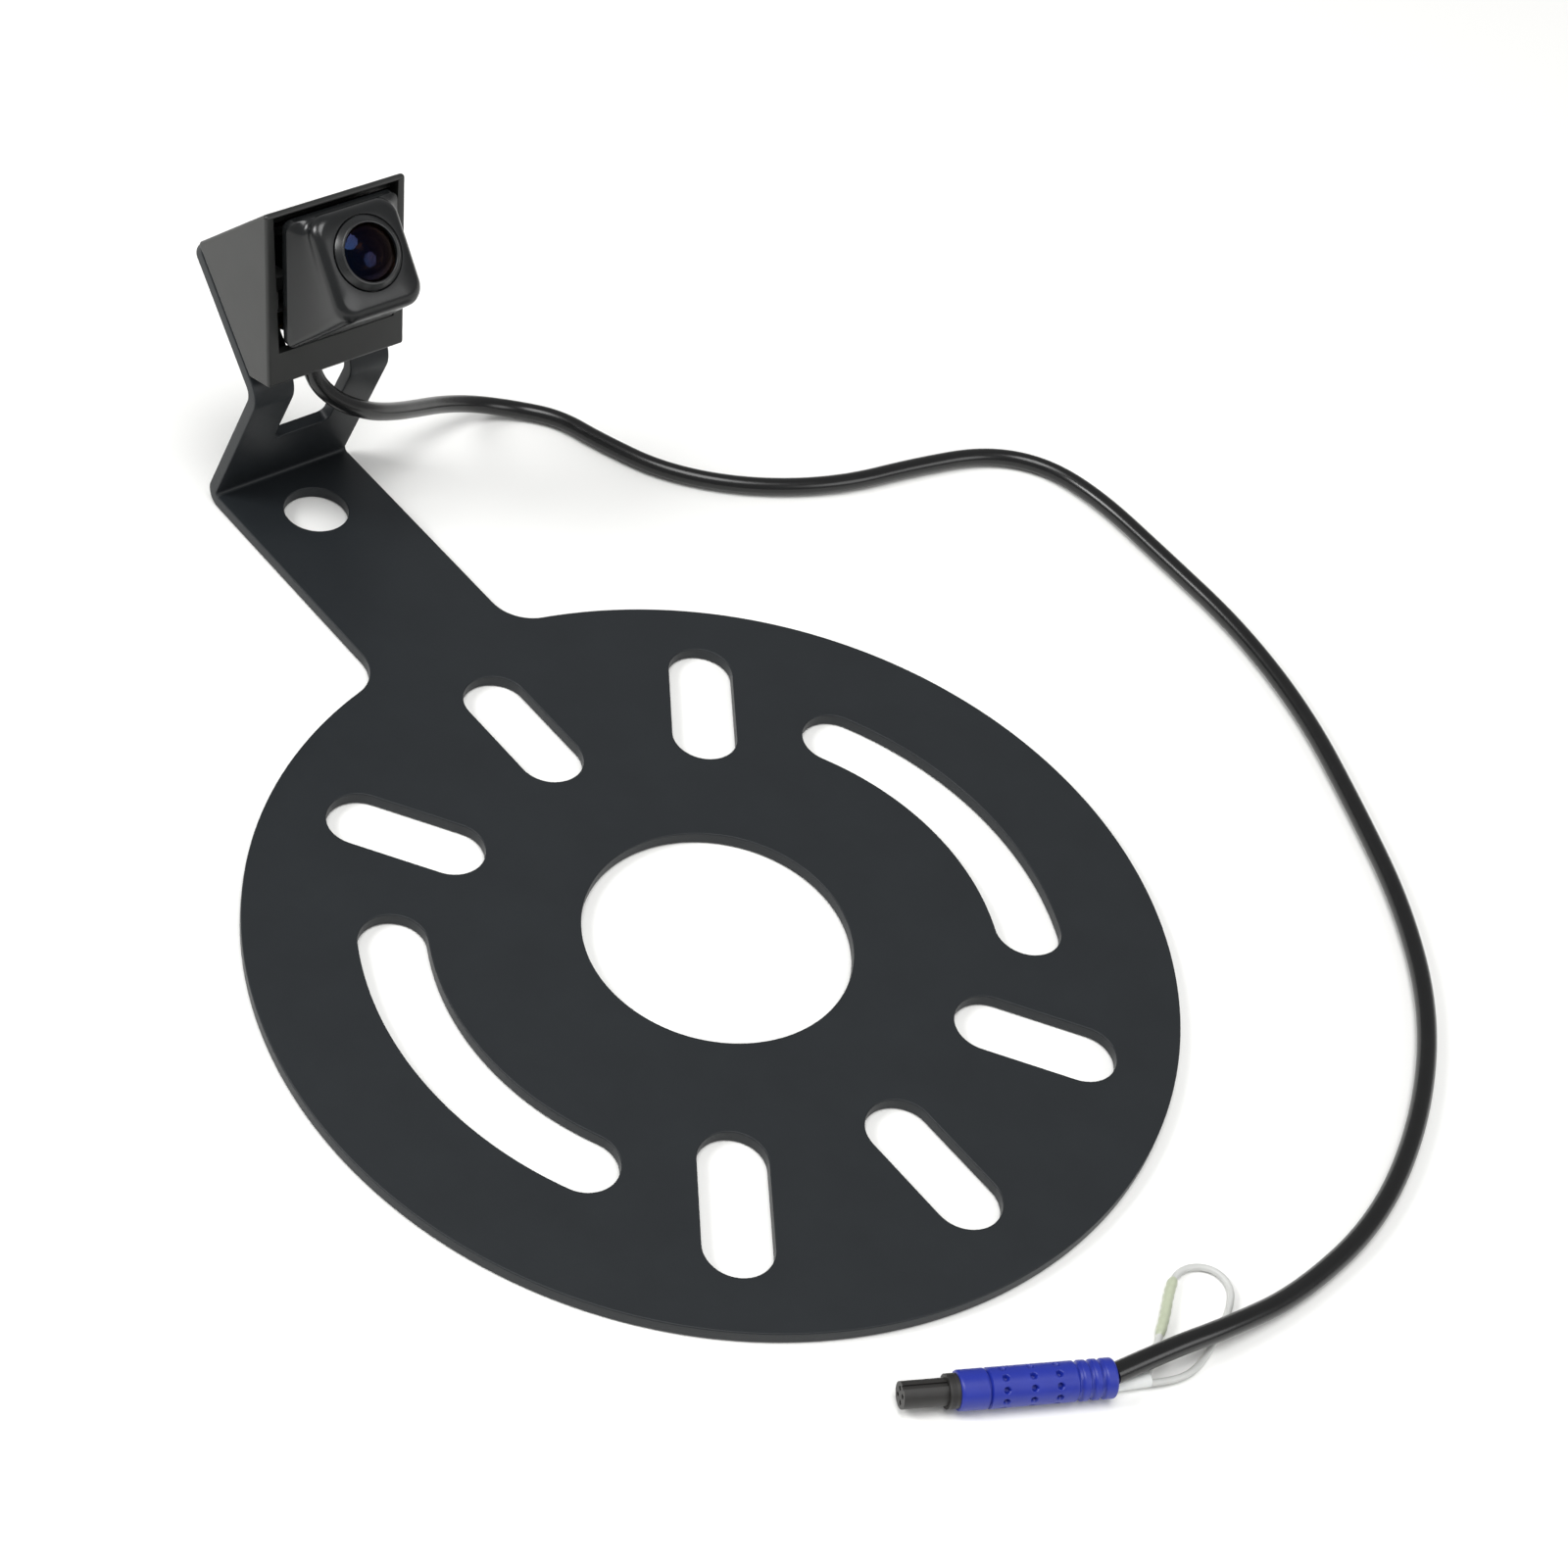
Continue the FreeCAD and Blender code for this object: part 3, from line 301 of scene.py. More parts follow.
@dataclass(frozen=True)
class Glass(Finish):
    """Ground and coated lens glass: clear, with a film whose colour shows only in its reflection."""

    film_nm: float = 0.0
    film_ior: float = 1.38

    def shader_values(self) -> dict:
        """Return the constant inputs of clear glass with its film."""
        return {"Transmission Weight": 1.0, "Thin Film Thickness": self.film_nm,
                "Thin Film IOR": self.film_ior}


# Polyester powder coat: satin blue-black that looks flat from above and lighter at a low angle. Its IOR
# is matched, below the resin's own 1.5, so that the plate stays dark.
POWDER_COAT = PowderCoat("powder coated steel", "#1a1d20", "#1f2326", 0.46, ior=1.38, grain_mm=0.75,
                         depth_mm=0.012, drift_mm=14, gloss_swing=0.04)
# The cut wall: the same powder over the steel's ridges, its tone painted lighter than the plate's as a
# painted highlight for the front light that falls on it.
CUT_EDGE_PAINTED_HIGHLIGHT = CutEdge("powder coat on the cut edge", "#343332", "#4a4744", 0.5, grain_mm=0.35, depth_mm=0.03,
                   drift_mm=3)
# ABS moulded in a spark-eroded tool: a fine even grain that spreads its shine.
HOOD_ABS = Finish("grained moulded abs", "#191a19", "#1f201f", 0.42, ior=1.53, grain_mm=0.3, depth_mm=0.012,
                  drift_mm=9)
# The pod is the same plastic from a smoother tool, so its curves carry soft highlights.
POD_ABS = Finish("satin moulded abs", "#0f1011", "#131516", 0.26, ior=1.46, grain_mm=0.22, depth_mm=0.004,
                 drift_mm=7, gloss_swing=0.03)
# The trim ring was turned or moulded finer still, and shows as a grey band.
RING_ABS = Finish("fine moulded ring abs", "#121314", "#161819", 0.28, ior=1.53, grain_mm=0.15,
                  depth_mm=0.003, drift_mm=4, gloss_swing=0.03)
# Moulded rubber: dull, and slightly brown where light falls on it.
RUBBER = Finish("moulded rubber", "#151413", "#1d1b1a", 0.62, ior=1.52, grain_mm=0.25, depth_mm=0.015,
                drift_mm=3)
# Extruded PVC jacket: glossy black with a plasticiser sheen. Real draw lines are finer than the grain.
PVC_JACKET = Jacket("extruded pvc jacket", "#070708", "#0c0d0d", 0.25, ior=1.5, grain_mm=0.5, depth_mm=0.002,
                    drift_mm=5, gloss_swing=0.05)
# Blue moulded PVC of the plug's grip: saturated, semi-gloss, a little uneven from the mould.
PLUG_PVC = Finish("blue moulded pvc", "#0f2288", "#142998", 0.42, ior=1.54, grain_mm=0.35, depth_mm=0.01,
                  drift_mm=4)
# Glass-filled nylon of the plug's insert: dull black with light glints.
NYLON = Finish("black moulded nylon", "#191817", "#262422", 0.5, ior=1.53, grain_mm=0.25, depth_mm=0.01,
               drift_mm=2)
# Natural nylon of the board's socket: milky.
WHITE_NYLON = Finish("natural nylon", "#dcd9cf", "#e6e3da", 0.45, ior=1.53, grain_mm=0.2, depth_mm=0.004)
# Thin PVC insulation: a neutral greyish white, its draw lines drawn coarser than real ones.
WIRE_PVC = Jacket("white pvc insulation", "#b9bab8", "#c8c9c6", 0.4, ior=1.54, grain_mm=0.2, depth_mm=0.004,
                  drift_mm=4)
# Shrink tube over a joint: pale green, tighter and shinier.
SHRINK_TUBE = Finish("pale green shrink tube", "#a9b199", "#b9bfa8", 0.32, ior=1.5, grain_mm=0.4,
                     depth_mm=0.02, drift_mm=3)
# White shrink tube at the plug.
WHITE_TUBE = Finish("white shrink tube", "#d6d9d8", "#e4e6e4", 0.35, ior=1.5, grain_mm=0.5, depth_mm=0.03,
                    drift_mm=3)
# Turned brass: warm and bright, with tool rings.
BRASS = Turned("turned brass", "#b89a5a", "#c9ab68", 0.28, metallic=1.0, grain_mm=0.2, depth_mm=0.004)
# Stainless screws, black oxide worn to grey on their high spots.
BLACK_STEEL = Turned("black oxide steel", "#2f3032", "#45474a", 0.38, metallic=1.0, grain_mm=0.25,
                     depth_mm=0.006, drift_mm=1.5)
# Anodised aluminium of the lens barrel: deep matt black to swallow stray light.
ANODISED = Turned("black anodised aluminium", "#040404", "#080808", 0.7, metallic=0.0, ior=1.3, grain_mm=0.2,
                  depth_mm=0.008)
# The retaining ring is anodised thinner, so its edge glints.
ANODISED_RING = Turned("grey anodised aluminium", "#2c2c31", "#3a3a41", 0.35, metallic=1.0, grain_mm=0.2,
                       depth_mm=0.004)
# Drawn aluminium can.
DRAWN_CAN = Turned("drawn aluminium", "#b9bbbd", "#c9cbcc", 0.3, metallic=1.0, grain_mm=0.3, depth_mm=0.003)
# Green solder mask over copper and glass fibre.
SOLDER_MASK = Finish("green solder mask", "#0d3a22", "#15512f", 0.3, ior=1.55, grain_mm=0.4, depth_mm=0.01,
                     drift_mm=1.2)
# Sensor die under its cover glass: dark with a mirror face.
SENSOR_DIE = Finish("sensor cover glass", "#12131c", "#1b1d2b", 0.08, ior=1.52, grain_mm=0.5, depth_mm=0.001,
                    drift_mm=1.5, gloss_swing=0.02)
# Front lens: tinted brown in the glass, under a film that reflects blue violet. Both matched.
FRONT_GLASS = Glass("front lens glass", "#5a4c44", "#5a4c44", 0.02, ior=1.5, gloss_swing=0.0, depth_mm=0.0005,
                    film_nm=118, film_ior=1.31)
# Inner and rear lenses: drawn opaque. Their tone drifts from dark violet to violet blue as a painted
# reflection of the coating, over painted shade, because little light comes back through the real ones.
INNER_LENS_PAINTED_REFLECTION = Finish("inner lens glass", "#15103e", "#3a2cc4", 0.1, ior=1.3, gloss_swing=0.0,
                     depth_mm=0.0005, drift_mm=3.0)


# ---- Mesh helpers ----
def arc(centre: Vector, radius: float, start: float, end: float, steps: int) -> Ring:
    """Points of an arc in the XY plane.

    Args:
        centre: its centre.
        radius: its radius.
        start: first angle in degrees from +X.
        end: last angle in degrees.
        steps: number of equal steps.

    Returns:
        The points, both ends among them.
    """
    angles = [math.radians(start + (end - start) * step / steps) for step in range(steps + 1)]
    return [centre + Vector((math.cos(angle), math.sin(angle), 0)) * radius for angle in angles]


def eased(profile: Profile, radius: float, steps: int = 4) -> Profile:
    """Round the corners of a closed profile, apart from those on the turning axis.

    Args:
        profile: (radius, height) corners.
        radius: largest rounding.
        steps: steps of each rounding.

    Returns:
        The profile with its corners rounded.
    """
    result: Profile = []
    count = len(profile)
    for index, corner in enumerate(profile):
        here = Vector(corner)
        back = Vector(profile[index - 1]) - here
        on = Vector(profile[(index + 1) % count]) - here
        reach = min(radius, SIDE_SHARE * back.length, SIDE_SHARE * on.length)
        if here.x < ON_AXIS or reach < LEAST_ROUND:
            result.append(corner)
            continue
        start = here + back.normalized() * reach
        end = here + on.normalized() * reach
        for step in range(steps + 1):
            share = step / steps
            point = start.lerp(here, share).lerp(here.lerp(end, share), share)
            result.append((point.x, point.y))
    return result


def shell_of_rings(rings: Sequence[Ring], joined: bool) -> bmesh.types.BMesh:
    """Skin equal rings of points with quads.

    Args:
        rings: rings of as many points each; a ring of one point is a pole.
        joined: True if the last ring meets the first, else open rings get a flat cap.

    Returns:
        The closed mesh, its faces outwards.
    """
    mesh = bmesh.new()
    rows = [[mesh.verts.new(point) for point in ring] for ring in rings]
    pairs = list(zip(rows, rows[1:]))
    if joined:
        pairs.append((rows[-1], rows[0]))
    for first, second in pairs:
        count = max(len(first), len(second))
        for index in range(count):
            following = (index + 1) % count
            corners = [first[index % len(first)], first[following % len(first)],
                       second[following % len(second)], second[index % len(second)]]
            mesh.faces.new(list(dict.fromkeys(corners)))
    if not joined:
        for row in (rows[0], rows[-1]):
            if len(row) > 2:
                mesh.faces.new(row)
    bmesh.ops.recalc_face_normals(mesh, faces=mesh.faces)
    return mesh


def turned(profile: Profile, segments: int = 96) -> bmesh.types.BMesh:
    """Turn a closed profile of (radius, height) about Z.

    Args:
        profile: corners in order; those on the axis become poles.
        segments: steps round the axis.

    Returns:
        The closed mesh.
    """
    on_axis = [radius < ON_AXIS for radius, _ in profile]
    if any(on_axis):
        first = next(index for index, flag in enumerate(on_axis)
                     if flag and not on_axis[(index + 1) % len(profile)])
        profile = profile[first:] + profile[:first]
    rings = []
    for radius, height in profile:
        if radius < ON_AXIS:
            rings.append([Vector((0, 0, height))])
        else:
            rings.append([Vector((radius * math.cos(turn), radius * math.sin(turn), height))
                          for turn in (2 * math.pi * step / segments for step in range(segments))])
    return shell_of_rings(rings, joined=not any(on_axis))


def tube_along(points: Sequence[Vector], radii: Sequence[float], around: int) -> bmesh.types.BMesh:
    """Round tube along points, with a map of its girth and length in metres.

    Args:
        points: centre line, in metres.
        radii: radius at each point, in metres.
        around: points round its girth.

    Returns:
        The closed mesh.
    """
    ways = [(points[min(i + 1, len(points) - 1)] - points[max(i - 1, 0)]).normalized()
            for i in range(len(points))]
    side = ways[0].orthogonal().normalized()
    rings = []
    for point, way, radius in zip(points, ways, radii):
        side = (side - way * side.dot(way)).normalized()
        across = way.cross(side)
        angles = [2 * math.pi * step / around for step in range(around)]
        rings.append([point + (side * math.cos(a) + across * math.sin(a)) * radius for a in angles])
    mesh = shell_of_rings(rings, joined=False)
    lengths = [0.0]
    for before, after in zip(points, points[1:]):
        lengths.append(lengths[-1] + (after - before).length)
    mesh.verts.index_update()
    layer = mesh.loops.layers.uv.new("girth_and_length")
    for face in mesh.faces:
        columns = [loop.vert.index % around for loop in face.loops]
        wraps = 0 in columns and around - 1 in columns and len(columns) == 4
        for loop, column in zip(face.loops, columns):
            row = loop.vert.index // around
            turn = around if wraps and column == 0 else column
            loop[layer].uv = (turn / around * 2 * math.pi * radii[row], lengths[row])
    return mesh


def to_object(name: str, mesh: bmesh.types.BMesh, place: Optional[Matrix] = None,
              sharp_angle: float = 40) -> bpy.types.Object:
    """Put a mesh in the scene, smooth apart from its sharp edges.

    Args:
        name: the piece's name.
        mesh: its mesh, which is used up.
        place: turn, place and scale into the frame.
        sharp_angle: edges that turn by more than this many degrees stay sharp.

    Returns:
        The object, at the origin.
    """
    if place is not None:
        mesh.transform(place)
    data = bpy.data.meshes.new(name)
    mesh.to_mesh(data)
    mesh.free()
    data.polygons.foreach_set("use_smooth", [True] * len(data.polygons))
    data.set_sharp_from_angle(angle=math.radians(sharp_angle))
    made = bpy.data.objects.new(name, data)
    bpy.context.scene.collection.objects.link(made)
    return made


def baked(piece: bpy.types.Object) -> bpy.types.Object:
    """Turn a piece with modifiers, or a curve, into a plain mesh object.

    Args:
        piece: the object, which is used up.

    Returns:
        A mesh object of the same name.
    """
    bpy.context.view_layer.update()
    evaluated = piece.evaluated_get(bpy.context.evaluated_depsgraph_get())
    data = bpy.data.meshes.new_from_object(evaluated)
    name = piece.name
    bpy.data.objects.remove(piece)
    data.name = name
    made = bpy.data.objects.new(name, data)
    bpy.context.scene.collection.objects.link(made)
    return made


def copy_of_node(node: str, name: str, flat_angle: float = 1.0) -> bmesh.types.BMesh:
    """Copy a CAD node's mesh, merge its loose triangles and join its flat faces.

    Args:
        node: the node's name.
        name: name for the working mesh.
        flat_angle: faces within this many degrees are joined.

    Returns:
        The merged copy, in millimetres.
    """
    mesh = bmesh.new()
    mesh.from_mesh(frame["nodes"][node].data)
    mesh.transform(Matrix.Scale(1 / MM, 4))
    bmesh.ops.remove_doubles(mesh, verts=mesh.verts, dist=0.002)
    bmesh.ops.dissolve_limit(mesh, angle_limit=math.radians(flat_angle), verts=mesh.verts, edges=mesh.edges)
    log.debug("%s has %d faces", name, len(mesh.faces))
    return mesh


def dress(piece: bpy.types.Object, finishes: Sequence[Finish], body: Optional[Body],
          stands_for: Iterable[str]) -> bpy.types.Object:
    """Give a finished piece its materials, its body and the nodes that it stands for.

    Args:
        piece: the object.
        finishes: one finish for each material index.
        stands_for: CAD nodes that it replaces.

    Returns:
        The same object.
    """
    piece.data.materials.clear()
    for finish in finishes:
        piece.data.materials.append(finish.build())
    if body is not None:
        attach(piece, body.value)
    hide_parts(*stands_for)
    log.info("%s stands for %s", piece.name, ", ".join(stands_for))
    return piece


# ---- Geometry Nodes ----
@dataclass(frozen=True)
class Scatter:
    """Geometry Nodes that stand one made piece on every point of a set.

    Each point carries its own axis in the attribute named way, and the made piece's own Z is
    turned to it.
    """

    name: str

    def tree(self) -> bpy.types.NodeTree:
        """Build the tree with its named inputs.

        Returns:
            The Geometry Nodes tree.
        """
        tree = bpy.data.node_groups.new(self.name, "GeometryNodeTree")
        tree.interface.new_socket("Places", in_out="INPUT", socket_type="NodeSocketGeometry")
        tree.interface.new_socket("Made Piece", in_out="INPUT", socket_type="NodeSocketObject")
        tree.interface.new_socket("Finish", in_out="INPUT", socket_type="NodeSocketMaterial")
        tree.interface.new_socket("Pieces", in_out="OUTPUT", socket_type="NodeSocketGeometry")
        given = add_node(tree, "NodeGroupInput")
        made = add_node(tree, "GeometryNodeObjectInfo", {"Object": given.outputs["Made Piece"]},
                        transform_space="ORIGINAL")
        way = add_node(tree, "GeometryNodeInputNamedAttribute", {"Name": "way"}, data_type="FLOAT_VECTOR")
        turn = add_node(tree, "FunctionNodeAlignEulerToVector", {"Vector": way.outputs[0]}, axis="Z")
        stood = add_node(tree, "GeometryNodeInstanceOnPoints",
                         {"Points": given.outputs["Places"], "Instance": made.outputs["Geometry"],
                          "Rotation": turn.outputs["Rotation"]})
        real = add_node(tree, "GeometryNodeRealizeInstances", {"Geometry": stood.outputs["Instances"]})
        dressed = add_node(tree, "GeometryNodeSetMaterial",
                           {"Geometry": real.outputs["Geometry"], "Material": given.outputs["Finish"]})
        add_node(tree, "NodeGroupOutput", {"Pieces": dressed.outputs["Geometry"]})
        return tree

    def stand(self, made: bpy.types.Object, places: Sequence[tuple[Vector, Vector]],
              finish: Finish) -> bpy.types.Object:
        """Stand the made piece on each place.

        Args:
            made: a piece at the origin along +Z, which is used up.
            places: foot and axis of each copy, in metres.
            finish: what the pieces are made of.

        Returns:
            One plain mesh object with every copy.
        """
        points = bpy.data.meshes.new(self.name)
        points.from_pydata([foot for foot, _ in places], [], [])
        ways = points.attributes.new("way", "FLOAT_VECTOR", "POINT")
        ways.data.foreach_set("vector", [number for _, way in places for number in way])
        holder = bpy.data.objects.new(self.name, points)
        bpy.context.scene.collection.objects.link(holder)
        modifier = holder.modifiers.new(self.name, "NODES")
        modifier.node_group = self.tree()
        give(modifier, {"Made Piece": made, "Finish": finish.build()})
        result = baked(holder)
        bpy.data.objects.remove(made)
        return result


def give(modifier: bpy.types.NodesModifier, values: dict) -> None:
    """Set a Geometry Nodes modifier's inputs by their names.

    Args:
        modifier: the modifier, with its tree.
        values: input name to value.
    """
    for item in modifier.node_group.interface.items_tree:
        if item.name in values and item.in_out == "INPUT":
            modifier[item.identifier] = values[item.name]


# ---- Bracket ----
@dataclass(frozen=True)
class Bend:
    """One press-brake bend of the blank: where it starts, how far it turns, and its inner radius."""

    start: float
    angle: float
    inner_radius: float
    towards_top: bool
    length: float


@dataclass
class BentBracket:
    """Stud plate, arm, upright and two tines: one sheet cut flat, then bent twice."""

    thickness: float = 2.7
    disc_radius: float = 92.0
    hub_radius: float = 26.8
    slot_width: float = 13.5
    slot_circles: tuple[float, float] = (109.5, 147.1)
    arc_circle: float = 127.0
    arc_half_angle: float = 28.4
    slot_angles: tuple[float, ...] = (54.0, 90.0, 126.0, 234.0, 270.0, 306.0)
    arm_half: float = 16.75
    blend_radius: float = 9.0
    arm_hole: tuple[float, float] = (139.5, 6.95)
    fold_at: float = 153.4
    fold_radius: float = 0.8
    upright_lean: float = 19.1
    upright: float = 36.7
    window_half: float = 7.0
    window_start: float = 17.0
    window_corner: float = 1.6
    tine_rise: float = 41.8
    tine: float = 34.15
    tine_radius: float = 3.0
    tine_corner: float = 2.5
    screw_rows: tuple[float, float] = (13.5, 26.5)
    screw_hole: float = 1.7
    edge_break: float = 0.28
    merge: float = 0.001
    wall_tilt: float = 0.3
    bend_steps: int = 12
    slot_steps: int = 24
    bends: list[Bend] = field(default_factory=list)

    def __post_init__(self) -> None:
        """Work out both bends of the blank."""
        middle = self.thickness / 2
        first_turn = 90 + self.upright_lean
        first = Bend(self.fold_at - self.fold_radius * math.tan(math.radians(first_turn / 2)), first_turn,
                     self.fold_radius, True, math.radians(first_turn) * (self.fold_radius + middle))
        second_turn = first_turn - self.tine_rise
        outer = self.tine_radius + self.thickness
        tangent = outer * math.tan(math.radians(second_turn / 2))
        straight = self.upright - (self.fold_at - first.start) - tangent
        second = Bend(first.start + first.length + straight, second_turn, self.tine_radius, False,
                      math.radians(second_turn) * (self.tine_radius + middle))
        self.bends = [first, second]

    def along_upright(self, distance: float) -> float:
        """Measure up the upright from its fold.

        Args:
            distance: millimetres from the fold's outer corner.

        Returns:
            The Y of that place on the flat blank.
        """
        first = self.bends[0]
        return first.start + first.length + distance - (self.fold_at - first.start)

    def along_tine(self, distance: float) -> float:
        """Measure along the tines from their fold.

        Args:
            distance: millimetres from the fold's outer corner.

        Returns:
            The Y of that place on the flat blank.
        """
        second = self.bends[1]
        tangent = (self.tine_radius + self.thickness) * math.tan(math.radians(second.angle / 2))
        return second.start + second.length + distance - tangent

    def outline(self) -> Ring:
        """Draw the blank's outline.

        Returns:
            Its points, anticlockwise.
        """
        half = self.arm_half
        reach = self.disc_radius + self.blend_radius
        blend_y = math.sqrt(reach ** 2 - (half + self.blend_radius) ** 2)
        centre = Vector((half + self.blend_radius, blend_y, 0))
        touch = math.degrees(math.atan2(blend_y, centre.x))
        end = self.along_tine(self.tine)
        window = self.along_upright(self.window_start)
        corner, floor = self.tine_corner, self.window_corner
        inner = self.window_half
        points = arc(Vector(), self.disc_radius, 180 - touch - 360, touch, 300)
        points += arc(centre, self.blend_radius, touch + 180, 180, 12)[1:]
        points += arc(Vector((half - corner, end - corner, 0)), corner, 0, 90, 8)
        points += arc(Vector((inner + corner, end - corner, 0)), corner, 90, 180, 8)
        points += arc(Vector((inner - floor, window + floor, 0)), floor, 0, -90, 6)
        points += arc(Vector((floor - inner, window + floor, 0)), floor, -90, -180, 6)
        points += arc(Vector((-inner - corner, end - corner, 0)), corner, 0, 90, 8)
        points += arc(Vector((corner - half, end - corner, 0)), corner, 90, 180, 8)
        mirrored = Vector((-centre.x, centre.y, 0))
        points += arc(mirrored, self.blend_radius, 0, -touch, 12)
        return points[:-1]

    def holes(self) -> list[Ring]:
        """Draw every hole's outline.

        Returns:
            A ring of points for each hole, anticlockwise.
        """
        rings = [arc(Vector(), self.hub_radius, 0, 360, 144)[:-1]]
        half = self.slot_width / 2
        inner, outer = (circle / 2 for circle in self.slot_circles)
        for angle in self.slot_angles:
            turn = Matrix.Rotation(math.radians(angle), 3, "Z")
            ring = arc(Vector((outer, 0, 0)), half, -90, 90, self.slot_steps)
            ring += arc(Vector((inner, 0, 0)), half, 90, 270, self.slot_steps)
            rings.append([turn @ point for point in ring])
        middle, spread = self.arc_circle / 2, self.arc_half_angle
        for side in (0, 180):
            low, high = side - spread, side + spread
            ends = [Vector((math.cos(turn), math.sin(turn), 0)) * middle
                    for turn in (math.radians(low), math.radians(high))]
            ring = arc(Vector(), middle + half, low, high, 40)
            ring += arc(ends[1], half, high, high + 180, self.slot_steps)[1:]
            ring += arc(Vector(), middle - half, high, low, 40)[1:]
            ring += arc(ends[0], half, low + 180, low + 360, self.slot_steps)[1:-1]
            rings.append(ring)
        place, radius = self.arm_hole
        rings.append(arc(Vector((0, place, 0)), radius, 0, 360, 64)[:-1])
        middle_x = (self.arm_half + self.window_half) / 2
        for side in (-1, 1):
            for row in self.screw_rows:
                place = Vector((side * middle_x, self.along_tine(row), 0))
                rings.append(arc(place, self.screw_hole, 0, 360, 32)[:-1])
        return rings

    def blank(self) -> bpy.types.Object:
        """Cut the flat blank: a filled flat curve whose bevel breaks every edge.

        Returns:
            The blank as a mesh object, in millimetres.
        """
        data = bpy.data.curves.new("blank", "CURVE")
        data.dimensions = "2D"
        data.fill_mode = "BOTH"
        data.extrude = self.thickness / 2 - self.edge_break
        data.bevel_depth = self.edge_break
        data.bevel_resolution = 1
        data.offset = -self.edge_break
        rings = [self.outline()] + [ring[::-1] for ring in self.holes()]
        for ring in rings:
            spline = data.splines.new("POLY")
            spline.points.add(len(ring) - 1)
            spline.use_cyclic_u = True
            for point, place in zip(spline.points, ring):
                point.co = (place.x, place.y, 0, 1)
        piece = bpy.data.objects.new("bracket_sheet", data)
        bpy.context.scene.collection.objects.link(piece)
        return baked(piece)

    def folded(self, point: Vector) -> Vector:
        """Carry a point of the blank through both bends.

        Args:
            point: its place on the flat blank.

        Returns:
            Its place on the bent sheet.
        """
        off = point.z - self.thickness
        place = Vector((0, self.bends[0].start, self.thickness))
        heading = 0.0
        rest = point.y - self.bends[0].start
        if rest <= 0:
            return point
        for index, bend in enumerate(self.bends):
            normal = Vector((0, -math.sin(heading), math.cos(heading)))
            side = 1 if bend.towards_top else -1
            radius = bend.inner_radius if bend.towards_top else bend.inner_radius + self.thickness
            centre = place + normal * (side * radius)
            share = min(rest / bend.length, 1.0)
            heading += side * math.radians(bend.angle) * share
            normal = Vector((0, -math.sin(heading), math.cos(heading)))
            place = centre - normal * (side * radius)
            if share < 1.0:
                break
            rest -= bend.length
            forward = Vector((0, math.cos(heading), math.sin(heading)))
            last = index + 1 == len(self.bends)
            room = math.inf if last else self.bends[index + 1].start - bend.start - bend.length
            place = place + forward * min(rest, room)
            if rest <= room:
                break
            rest -= room
        return place + normal * off + Vector((point.x, 0, 0))

    def make(self) -> bpy.types.Object:
        """Cut, bend and coat the sheet.

        Returns:
            The finished bracket.
        """
        piece = self.blank()
        mesh = bmesh.new()
        mesh.from_mesh(piece.data)
        bpy.data.objects.remove(piece)
        bmesh.ops.remove_doubles(mesh, verts=mesh.verts, dist=self.merge)
        bmesh.ops.translate(mesh, verts=mesh.verts, vec=(0, 0, self.thickness / 2))
        for bend in self.bends:
            for step in range(self.bend_steps + 1):
                cut = bend.start + bend.length * step / self.bend_steps
                everything = mesh.verts[:] + mesh.edges[:] + mesh.faces[:]
                bmesh.ops.bisect_plane(mesh, geom=everything, dist=1e-4, plane_co=(0, cut, 0),
                                       plane_no=(0, 1, 0))
        for face in mesh.faces:
            # Cut walls get the cut-edge finish, whose lighter tone is a painted highlight.
            face.material_index = 1 if abs(face.normal.z) < self.wall_tilt else 0
        for vert in mesh.verts:
            vert.co = self.folded(vert.co)
        bmesh.ops.recalc_face_normals(mesh, faces=mesh.faces)
        sheet = to_object("bracket_sheet", mesh, Matrix.Scale(MM, 4), sharp_angle=50)
        sheet.modifiers.new("even light", "WEIGHTED_NORMAL").keep_sharp = True
        return dress(baked(sheet), [POWDER_COAT, CUT_EDGE_PAINTED_HIGHLIGHT], Body.MOUNT, ["mounting_bracket"])


# ---- Hood ----
@dataclass
class Hood:
    """Moulded hood over the pod, with its outer corners rounded."""

    half_width: float = 16.75
    corner: float = 0.7
    side_margin: float = 0.05
    least_crease: float = 25.0

    def make(self) -> bpy.types.Object:
        """Copy the frame's hood and round its outer edges.

        Returns:
            The finished hood.
        """
        mesh = copy_of_node("camera_housing", "hood")
        near_side = self.half_width - self.side_margin
        crease = math.radians(self.least_crease)

        def outer(edge: bmesh.types.BMEdge) -> bool:
            """Return True for a creased edge of a side wall's outer face."""
            on_side = [abs(vert.co.x) > near_side for vert in edge.verts]
            return edge.is_manifold and all(on_side) and edge.calc_face_angle(0) > crease

        edges = [edge for edge in mesh.edges if outer(edge)]
        bmesh.ops.bevel(mesh, geom=edges, offset=self.corner, offset_type="OFFSET", segments=4, profile=0.5,
                        affect="EDGES", clamp_overlap=True)
        hood = to_object("hood", mesh, Matrix.Scale(MM, 4), sharp_angle=35)
        hood.modifiers.new("even light", "WEIGHTED_NORMAL").keep_sharp = True
        return dress(baked(hood), [HOOD_ABS], Body.MOUNT, ["camera_housing"])


